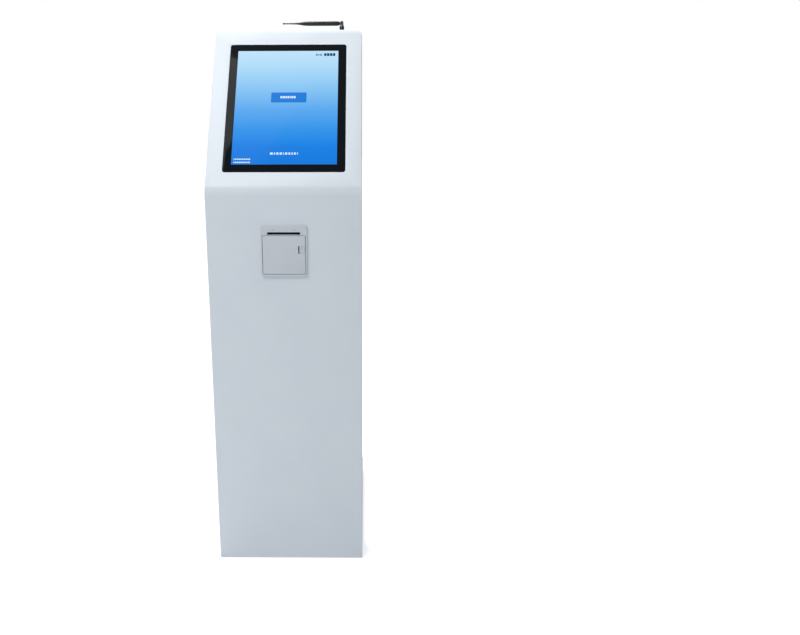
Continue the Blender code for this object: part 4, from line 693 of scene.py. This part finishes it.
# ---- Ticket printer ----------------------------------------------------------------------------
# A kiosk printer with a moulded pale grey ABS bezel round a ticket slot and a side-hinged paper
# cover, which a sliding latch holds shut. Mould parting lines are gone; edges have a 1 mm round.
# Moulded ABS: even, cool white, a fine spark-eroded grain and a soft sheen.
abs_white, shader = principled("moulded_white_abs", "#D6DEE6", 0.38)
place = add_node(abs_white, "ShaderNodeTexCoord").outputs["Object"]
grain = add_node(abs_white, "ShaderNodeTexNoise", {"Vector": place, "Scale": 1 / 0.0005, "Detail": 2.0})
bump = add_node(abs_white, "ShaderNodeBump", {"Height": grain.outputs["Fac"], "Strength": 0.05,
                                              "Distance": 0.0001})
abs_white.node_tree.links.new(bump.outputs["Normal"], shader.inputs["Normal"])
# Printed marks: a flat mid grey screen ink with slightly broken edges' worth of tone.
grey_ink, shader = principled("grey_screen_ink", "#7F8C98", 0.6)
place = add_node(grey_ink, "ShaderNodeTexCoord").outputs["Object"]
fleck = add_node(grey_ink, "ShaderNodeTexNoise", {"Vector": place, "Scale": 1 / 0.0008})
tone = add_node(grey_ink, "ShaderNodeMix", {"Factor": fleck.outputs["Fac"], 6: linear("#74818D"),
                                            7: linear("#8B98A4")}, data_type="RGBA")
grey_ink.node_tree.links.new(tone.outputs[2], shader.inputs["Base Color"])
# Black moulded plastic: charcoal with a matt eroded grain, paler where light grazes it.
black_plastic, shader = principled("black_moulded_plastic", "#191A1C", 0.52)
place = add_node(black_plastic, "ShaderNodeTexCoord").outputs["Object"]
grain = add_node(black_plastic, "ShaderNodeTexNoise", {"Vector": place, "Scale": 1 / 0.0006, "Detail": 2.0})
bump = add_node(black_plastic, "ShaderNodeBump", {"Height": grain.outputs["Fac"], "Strength": 0.12,
                                                  "Distance": 0.0001})
black_plastic.node_tree.links.new(bump.outputs["Normal"], shader.inputs["Normal"])

cover_low, cover_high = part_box("printer_cover")
latch_low, latch_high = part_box("cover_latch")
face_y = bezel_low[1]
SLOT_WIDTH, SLOT_HEIGHT, COVER_GAP = 0.085, 0.007, 0.0012
slot_low = cover_high[2] + COVER_GAP + 0.0015
bezel_bm = rounded_block((bezel_low[0], face_y, bezel_low[2]), (bezel_high[0], front_y - STEP, bezel_high[2]),
                         0.008, 1, 8)
rim = [e for e in bezel_bm.edges if all(abs(v.co.y - face_y) < 1e-6 for v in e.verts)]
bevel_edges(bezel_bm, rim, 0.0013, 4)
bezel = new_piece("moulded_bezel", bezel_bm, abs_white, smooth_angle=45)
cut_away(bezel, block((bezel_low[0] + 0.0025, front_y - STEP - 0.001, bezel_low[2] + 0.0045),
                      (bezel_high[0] - 0.0025, bezel_high[1], bezel_high[2] - 0.0045)), "UNION")
opening_bm = rounded_block((cover_low[0] - COVER_GAP, face_y - 0.01, cover_low[2] - COVER_GAP),
                           (cover_high[0] + COVER_GAP, bezel_high[1] + 0.01, cover_high[2] + COVER_GAP),
                           0.0014, 1, 3)
cut_away(bezel, opening_bm)
cut_away(bezel, rounded_block((-SLOT_WIDTH / 2, face_y - 0.01, slot_low),
                              (SLOT_WIDTH / 2, bezel_high[1] + 0.01, slot_low + SLOT_HEIGHT), 0.0016, 1, 3))
pin_low, pin_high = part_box("cover_hinge_pin")


def pin_bore():
    bore = bmesh.new()
    middle = Vector(((pin_low[0] + pin_high[0]) / 2, (pin_low[1] + pin_high[1]) / 2,
                     (pin_low[2] + pin_high[2]) / 2))
    bmesh.ops.create_cone(bore, cap_ends=True, segments=20, radius1=0.0012, radius2=0.0012,
                          depth=pin_high[2] - pin_low[2] + 2 * STEP, matrix=Matrix.Translation(middle))
    return bore


cut_away(bezel, pin_bore())
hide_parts("printer_bezel")

cover_bm = rounded_block((cover_low[0], face_y, cover_low[2]), (cover_high[0], cover_high[1], cover_high[2]),
                         0.0012, 1, 3)
rim = [e for e in cover_bm.edges if all(abs(v.co.y - face_y) < 1e-6 for v in e.verts)]
bevel_edges(cover_bm, rim, 0.0006, 3)
cover = new_piece("moulded_cover", cover_bm, abs_white, "printer_cover", 45)
cut_away(cover, block((cover_low[0] + 0.002, face_y + 0.002, cover_low[2] + 0.002),
                      (cover_high[0] - 0.002, cover_high[1] + 0.01, cover_high[2] - 0.002)))
cut_away(cover, pin_bore())
cut_away(cover, rounded_block((latch_low[0] - 0.0025 - STEP, face_y - 0.01, latch_low[2] - STEP),
                              (latch_high[0] + STEP, face_y + 0.004, latch_high[2] + STEP), 0.0012, 1, 4))
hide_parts("printer_cover")

latch_bm = rounded_block((latch_low[0], latch_low[1], latch_low[2]), latch_high, 0.0012, 1, 4)
rim = [e for e in latch_bm.edges if all(abs(v.co.y - latch_low[1]) < 1e-6 for v in e.verts)]
bevel_edges(latch_bm, rim, 0.0004, 2)
latch = new_piece("moulded_latch", latch_bm, abs_white, "cover_latch", 45)
cut_away(latch, rounded_block((latch_low[0] + 0.004, face_y - 0.01, latch_low[2] + 0.003),
                              (latch_high[0] - 0.002, face_y + 0.0016, latch_high[2] - 0.003), 0.001, 1, 4))
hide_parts("cover_latch")

marks = [block((x, face_y - 0.00003, slot_low + SLOT_HEIGHT + 0.0050),
               (x + 0.004, face_y + 0.0002, slot_low + SLOT_HEIGHT + 0.0066)) for x in (-0.030, 0.026)]
new_piece("slot_marks", joined(marks), grey_ink)

# ---- Printer inside ----------------------------------------------------------------------------
# Behind the bezel a black moulded bin holds an 80 mm thermal roll. A rubber platen, turned by a small
# geared motor, pulls the paper past a ceramic print head on a green board.
# Thermal paper: warm white, with the roll's wound edges showing as fine rings.
paper, shader = principled("thermal_paper", "#EFEDE6", 0.75)
place = add_node(paper, "ShaderNodeTexCoord").outputs["Object"]
roll_low, roll_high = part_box("paper_roll")
middle = [(a + b) / 2 for a, b in zip(roll_low, roll_high)]
from_axis = add_node(paper, "ShaderNodeVectorMath", {0: place, 1: (0.0, middle[1], middle[2])},
                     operation="SUBTRACT")
flat = add_node(paper, "ShaderNodeVectorMath", {0: from_axis.outputs["Vector"], 1: (0.0, 1.0, 1.0)},
                operation="MULTIPLY")
radius = add_node(paper, "ShaderNodeVectorMath", {0: flat.outputs["Vector"]}, operation="LENGTH")
wound = add_node(paper, "ShaderNodeTexNoise", {"W": radius.outputs["Value"], "Scale": 1 / 0.0004},
                 noise_dimensions="1D")
edge_tone = add_node(paper, "ShaderNodeMix", {"Factor": wound.outputs["Fac"], 6: linear("#DEDBD2"),
                                              7: linear("#F5F3EE")}, data_type="RGBA")
paper.node_tree.links.new(edge_tone.outputs[2], shader.inputs["Base Color"])
# Ground nitrile rubber: near black, dead matt, faintly dusty with paper lint.
rubber, shader = principled("ground_rubber", "#1B1B1B", 0.85)
place = add_node(rubber, "ShaderNodeTexCoord").outputs["Object"]
lint = add_node(rubber, "ShaderNodeTexNoise", {"Vector": place, "Scale": 1 / 0.001, "Detail": 3.0})
dust = add_node(rubber, "ShaderNodeMix", {"Factor": lint.outputs["Fac"], 6: linear("#161616"),
                                          7: linear("#34332F")}, data_type="RGBA")
rubber.node_tree.links.new(dust.outputs[2], shader.inputs["Base Color"])
# Acetal gear plastic: slightly translucent milky white with a waxy sheen.
acetal, shader = principled("milky_acetal", "#E4E3DC", 0.32, Subsurface_Weight=0.15)
place = add_node(acetal, "ShaderNodeTexCoord").outputs["Object"]
wax = add_node(acetal, "ShaderNodeTexNoise", {"Vector": place, "Scale": 1 / 0.003})
sheen = add_node(acetal, "ShaderNodeMapRange", {"Value": wax.outputs["Fac"], "To Min": 0.26, "To Max": 0.38})
acetal.node_tree.links.new(sheen.outputs["Result"], shader.inputs["Roughness"])
# Green solder mask over glass cloth, with the faint square weave under it.
board, shader = principled("green_solder_mask", "#17512B", 0.35)
place = add_node(board, "ShaderNodeTexCoord").outputs["Object"]
weave = add_node(board, "ShaderNodeTexChecker", {"Vector": place, "Scale": 1 / 0.001,
                                                 "Color1": linear("#154A27"), "Color2": linear("#1B5A31")})
board.node_tree.links.new(weave.outputs["Color"], shader.inputs["Base Color"])
for node, material in (("printer_chassis", black_plastic), ("paper_roll", paper), ("platen_roller", rubber),
                       ("platen_gear", acetal), ("motor_pinion", acetal), ("feed_motor", zinc),
                       ("thermal_print_head", board), ("cover_hinge_pin", zinc)):
    material_on(frame["nodes"][node], material)

# ---- Cable opening -----------------------------------------------------------------------------
# Low on the column's back a wide cut-out leads to a black moulded plate with the mains inlet and a
# rocker switch, set inside so that plugs stay within the column.
# The inlet and rocker are a glossier phenolic black than the plate.
phenolic, shader = principled("black_phenolic", "#0E0E10", 0.30)
place = add_node(phenolic, "ShaderNodeTexCoord").outputs["Object"]
flow = add_node(phenolic, "ShaderNodeTexNoise", {"Vector": place, "Scale": 1 / 0.006})
sheen = add_node(phenolic, "ShaderNodeMapRange", {"Value": flow.outputs["Fac"], "To Min": 0.24,
                                                  "To Max": 0.36})
phenolic.node_tree.links.new(sheen.outputs["Result"], shader.inputs["Roughness"])
material_on(frame["nodes"]["connector_plate"], black_plastic)
material_on(frame["nodes"]["power_inlet"], phenolic)
material_on(frame["nodes"]["power_switch"], phenolic)

# ---- Antenna -----------------------------------------------------------------------------------
# A screw-on rod antenna with a hinged elbow: a nickel-plated coaxial connector, a black knuckle and a
# soft-moulded whip that is thick at its foot and thins to a beaded tip.
# Thermoplastic elastomer: black, slightly greasy sheen, a faint mould flow along it.
whip_rubber, shader = principled("soft_moulded_elastomer", "#101113", 0.46)
place = add_node(whip_rubber, "ShaderNodeTexCoord").outputs["Object"]
skin = add_node(whip_rubber, "ShaderNodeTexNoise", {"Vector": place, "Scale": 1 / 0.0015, "Detail": 3.0})
sheen = add_node(whip_rubber, "ShaderNodeMapRange", {"Value": skin.outputs["Fac"], "To Min": 0.38,
                                                     "To Max": 0.54})
whip_rubber.node_tree.links.new(sheen.outputs["Result"], shader.inputs["Roughness"])

swivel = Vector(joints["antenna_swivel"]["pos_m"])
tilt_at = Vector(joints["antenna_tilt"]["pos_m"])
stem = (tilt_at - swivel).length
KNUCKLE_RADIUS, KNUCKLE_HEIGHT, EAR_RADIUS = 0.0065, 0.023, 0.0045
SWIVEL_PLACE = Matrix.Translation(swivel) @ Matrix.Rotation(-TILT, 4, "X")
knuckle_outline = [(0, 0), (KNUCKLE_RADIUS - 0.0012, 0), (KNUCKLE_RADIUS - 0.0003, 0.0010),
                   (KNUCKLE_RADIUS, 0.0024)]
for groove in range(5):
    at = 0.0040 + 0.0016 * groove
    knuckle_outline += [(KNUCKLE_RADIUS, at), (KNUCKLE_RADIUS - 0.0004, at + 0.0003),
                        (KNUCKLE_RADIUS - 0.0004, at + 0.0007), (KNUCKLE_RADIUS, at + 0.0010)]
knuckle_outline += [(KNUCKLE_RADIUS, KNUCKLE_HEIGHT - 0.0012),
                    (KNUCKLE_RADIUS - 0.0004, KNUCKLE_HEIGHT - 0.0003),
                    (KNUCKLE_RADIUS - 0.0012, KNUCKLE_HEIGHT), (0, KNUCKLE_HEIGHT)]
knuckle = new_piece("ribbed_knuckle", turned(knuckle_outline, 40), whip_rubber, "antenna_knuckle",
                    40)


def ear(y0, y1):
    """One ear of the hinge fork: an upright tab with a round top."""
    tab = block((-EAR_RADIUS, y0, KNUCKLE_HEIGHT - 0.002), (EAR_RADIUS, y1, stem))
    disc = bmesh.new()
    bmesh.ops.create_cone(disc, cap_ends=True, segments=40, radius1=EAR_RADIUS, radius2=EAR_RADIUS,
                          depth=y1 - y0, matrix=Matrix.Translation((0, (y0 + y1) / 2, stem))
                          @ Matrix.Rotation(math.pi / 2, 4, "X"))
    return tab, disc


for y0, y1 in ((-0.0055, -0.0023), (0.0023, 0.0055)):
    for part in ear(y0, y1):
        cut_away(knuckle, part, "UNION")
knuckle.data.transform(SWIVEL_PLACE)
knuckle.data.shade_smooth()
knuckle.data.set_sharp_from_angle(angle=math.radians(35))
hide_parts("antenna_knuckle")

WHIP_LENGTH, WHIP_RADIUS, WHIP_TIP = 0.166, 0.0062, 0.0020
whip_outline = [(0, 0.0060), (0.0030, 0.0060), (0.0040, 0.0064), (0.0054, 0.0090), (WHIP_RADIUS, 0.0125),
                (WHIP_RADIUS, 0.085), (0.0061, 0.096), (0.0055, 0.104), (0.0044, 0.112), (0.0034, 0.118),
                (0.0026, 0.125), (WHIP_TIP, 0.134), (0.0017, 0.150), (0.0017, WHIP_LENGTH - 0.0055),
                (0.0021, WHIP_LENGTH - 0.0042), (0.0022, WHIP_LENGTH - 0.0025),
                (0.0019, WHIP_LENGTH - 0.0010), (0.0010, WHIP_LENGTH - 0.0002), (0, WHIP_LENGTH)]
whip = new_piece("moulded_whip", turned(whip_outline, 40), whip_rubber, "antenna_whip", 40)
whip.data.transform(Matrix.Rotation(-math.pi / 2, 4, "Y"))
tongue_disc = bmesh.new()
bmesh.ops.create_cone(tongue_disc, cap_ends=True, segments=40, radius1=EAR_RADIUS, radius2=EAR_RADIUS,
                      depth=0.004, matrix=Matrix.Rotation(math.pi / 2, 4, "X"))
cut_away(whip, tongue_disc, "UNION")
cut_away(whip, block((-0.012, -0.0020, -0.0030), (0, 0.0020, 0.0030)), "UNION")
whip.data.transform(Matrix.Translation(tilt_at) @ Matrix.Rotation(-TILT, 4, "X"))
whip.data.shade_smooth()
whip.data.set_sharp_from_angle(angle=math.radians(35))
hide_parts("antenna_whip")

CONNECTOR_TOP = 0.005
connector_outline = [(0, -0.0078), (0.0026, -0.0078), (0.0030, -0.0074), (0.0030, STEP),
                     (0.0042, STEP), (0.0045, 0.0006), (0.0045, 0.0044), (0.0042, CONNECTOR_TOP - STEP),
                     (0, CONNECTOR_TOP - STEP)]
connector = new_piece("coaxial_connector", turned(connector_outline, 40), nickel,
                      smooth_angle=40)
connector.data.transform(Matrix.Translation(head_point(swivel.x, 0.026, HEAD_LENGTH))
                         @ Matrix.Rotation(-TILT, 4, "X"))
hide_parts("antenna_connector")

# ---- Inside the head and column ----------------------------------------------------------------
# Behind the doors: the display module in its folded bracket, a finned mini computer, a boxed power
# supply, a small fan, the loudspeaker and the floor plate. All are seen only with a door open.
# Passivated zinc sheet of the boxed units: a duller, yellower grey than the plated hardware.
galvanised, shader = principled("galvanised_box_sheet", "#9B9FA1", 0.44, Metallic=1.0)
place = add_node(galvanised, "ShaderNodeTexCoord").outputs["Object"]
bloom = add_node(galvanised, "ShaderNodeTexVoronoi", {"Vector": place, "Scale": 1 / 0.012})
grey = add_node(galvanised, "ShaderNodeMix", {"Factor": bloom.outputs["Distance"], 6: linear("#A6AAAB"),
                                              7: linear("#8C9092")}, data_type="RGBA")
galvanised.node_tree.links.new(grey.outputs[2], shader.inputs["Base Color"])
# Hard black anodising on the computer's extruded case, with drawing lines along its length.
anodised, shader = principled("black_anodised_extrusion", "#1C1D20", 0.38, Metallic=0.7)
place = add_node(anodised, "ShaderNodeTexCoord").outputs["Object"]
lines = add_node(anodised, "ShaderNodeTexNoise", {
    "Vector": add_node(anodised, "ShaderNodeMapping", {"Vector": place, "Scale": (2500, 60, 60)}).outputs[0],
    "Scale": 1.0})
drawn = add_node(anodised, "ShaderNodeMapRange", {"Value": lines.outputs["Fac"], "To Min": 0.28,
                                                  "To Max": 0.48})
anodised.node_tree.links.new(drawn.outputs["Result"], shader.inputs["Roughness"])
for node, material in (("lcd_panel", galvanised), ("glass_mount_frame", zinc), ("mini_computer", anodised),
                       ("power_supply", galvanised), ("fan_frame", black_plastic),
                       ("fan_rotor", black_plastic), ("speaker", black_plastic),
                       ("base_bottom_plate", galvanised)):
    material_on(frame["nodes"][node], material)

# The power supply's lid carries rows of thin black patches, painted shade where vent holes would show dark,
# and a plain blank label.
supply_low, supply_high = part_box("power_supply")
vent_shade = []
for row in range(4):
    for column in range(14):
        x = supply_low[0] + 0.0150 + column * 0.0100
        z = supply_low[2] + 0.0220 + row * 0.0080
        vent_shade.append(block((x, supply_high[1] - 0.0002, z),
                          (x + 0.0055, supply_high[1] + 0.00005, z + 0.0030)))
# Painted shade: flat black patches on the lid, standing in for the dark inside of vents that are not cut.
new_piece("painted_vent_shade", joined(vent_shade), black_plastic)
label = block((supply_low[0] + 0.040, supply_high[1] - 0.0002, supply_high[2] - 0.034),
              (supply_low[0] + 0.100, supply_high[1] + 0.00006, supply_high[2] - 0.010))
new_piece("supply_label", label, paper)
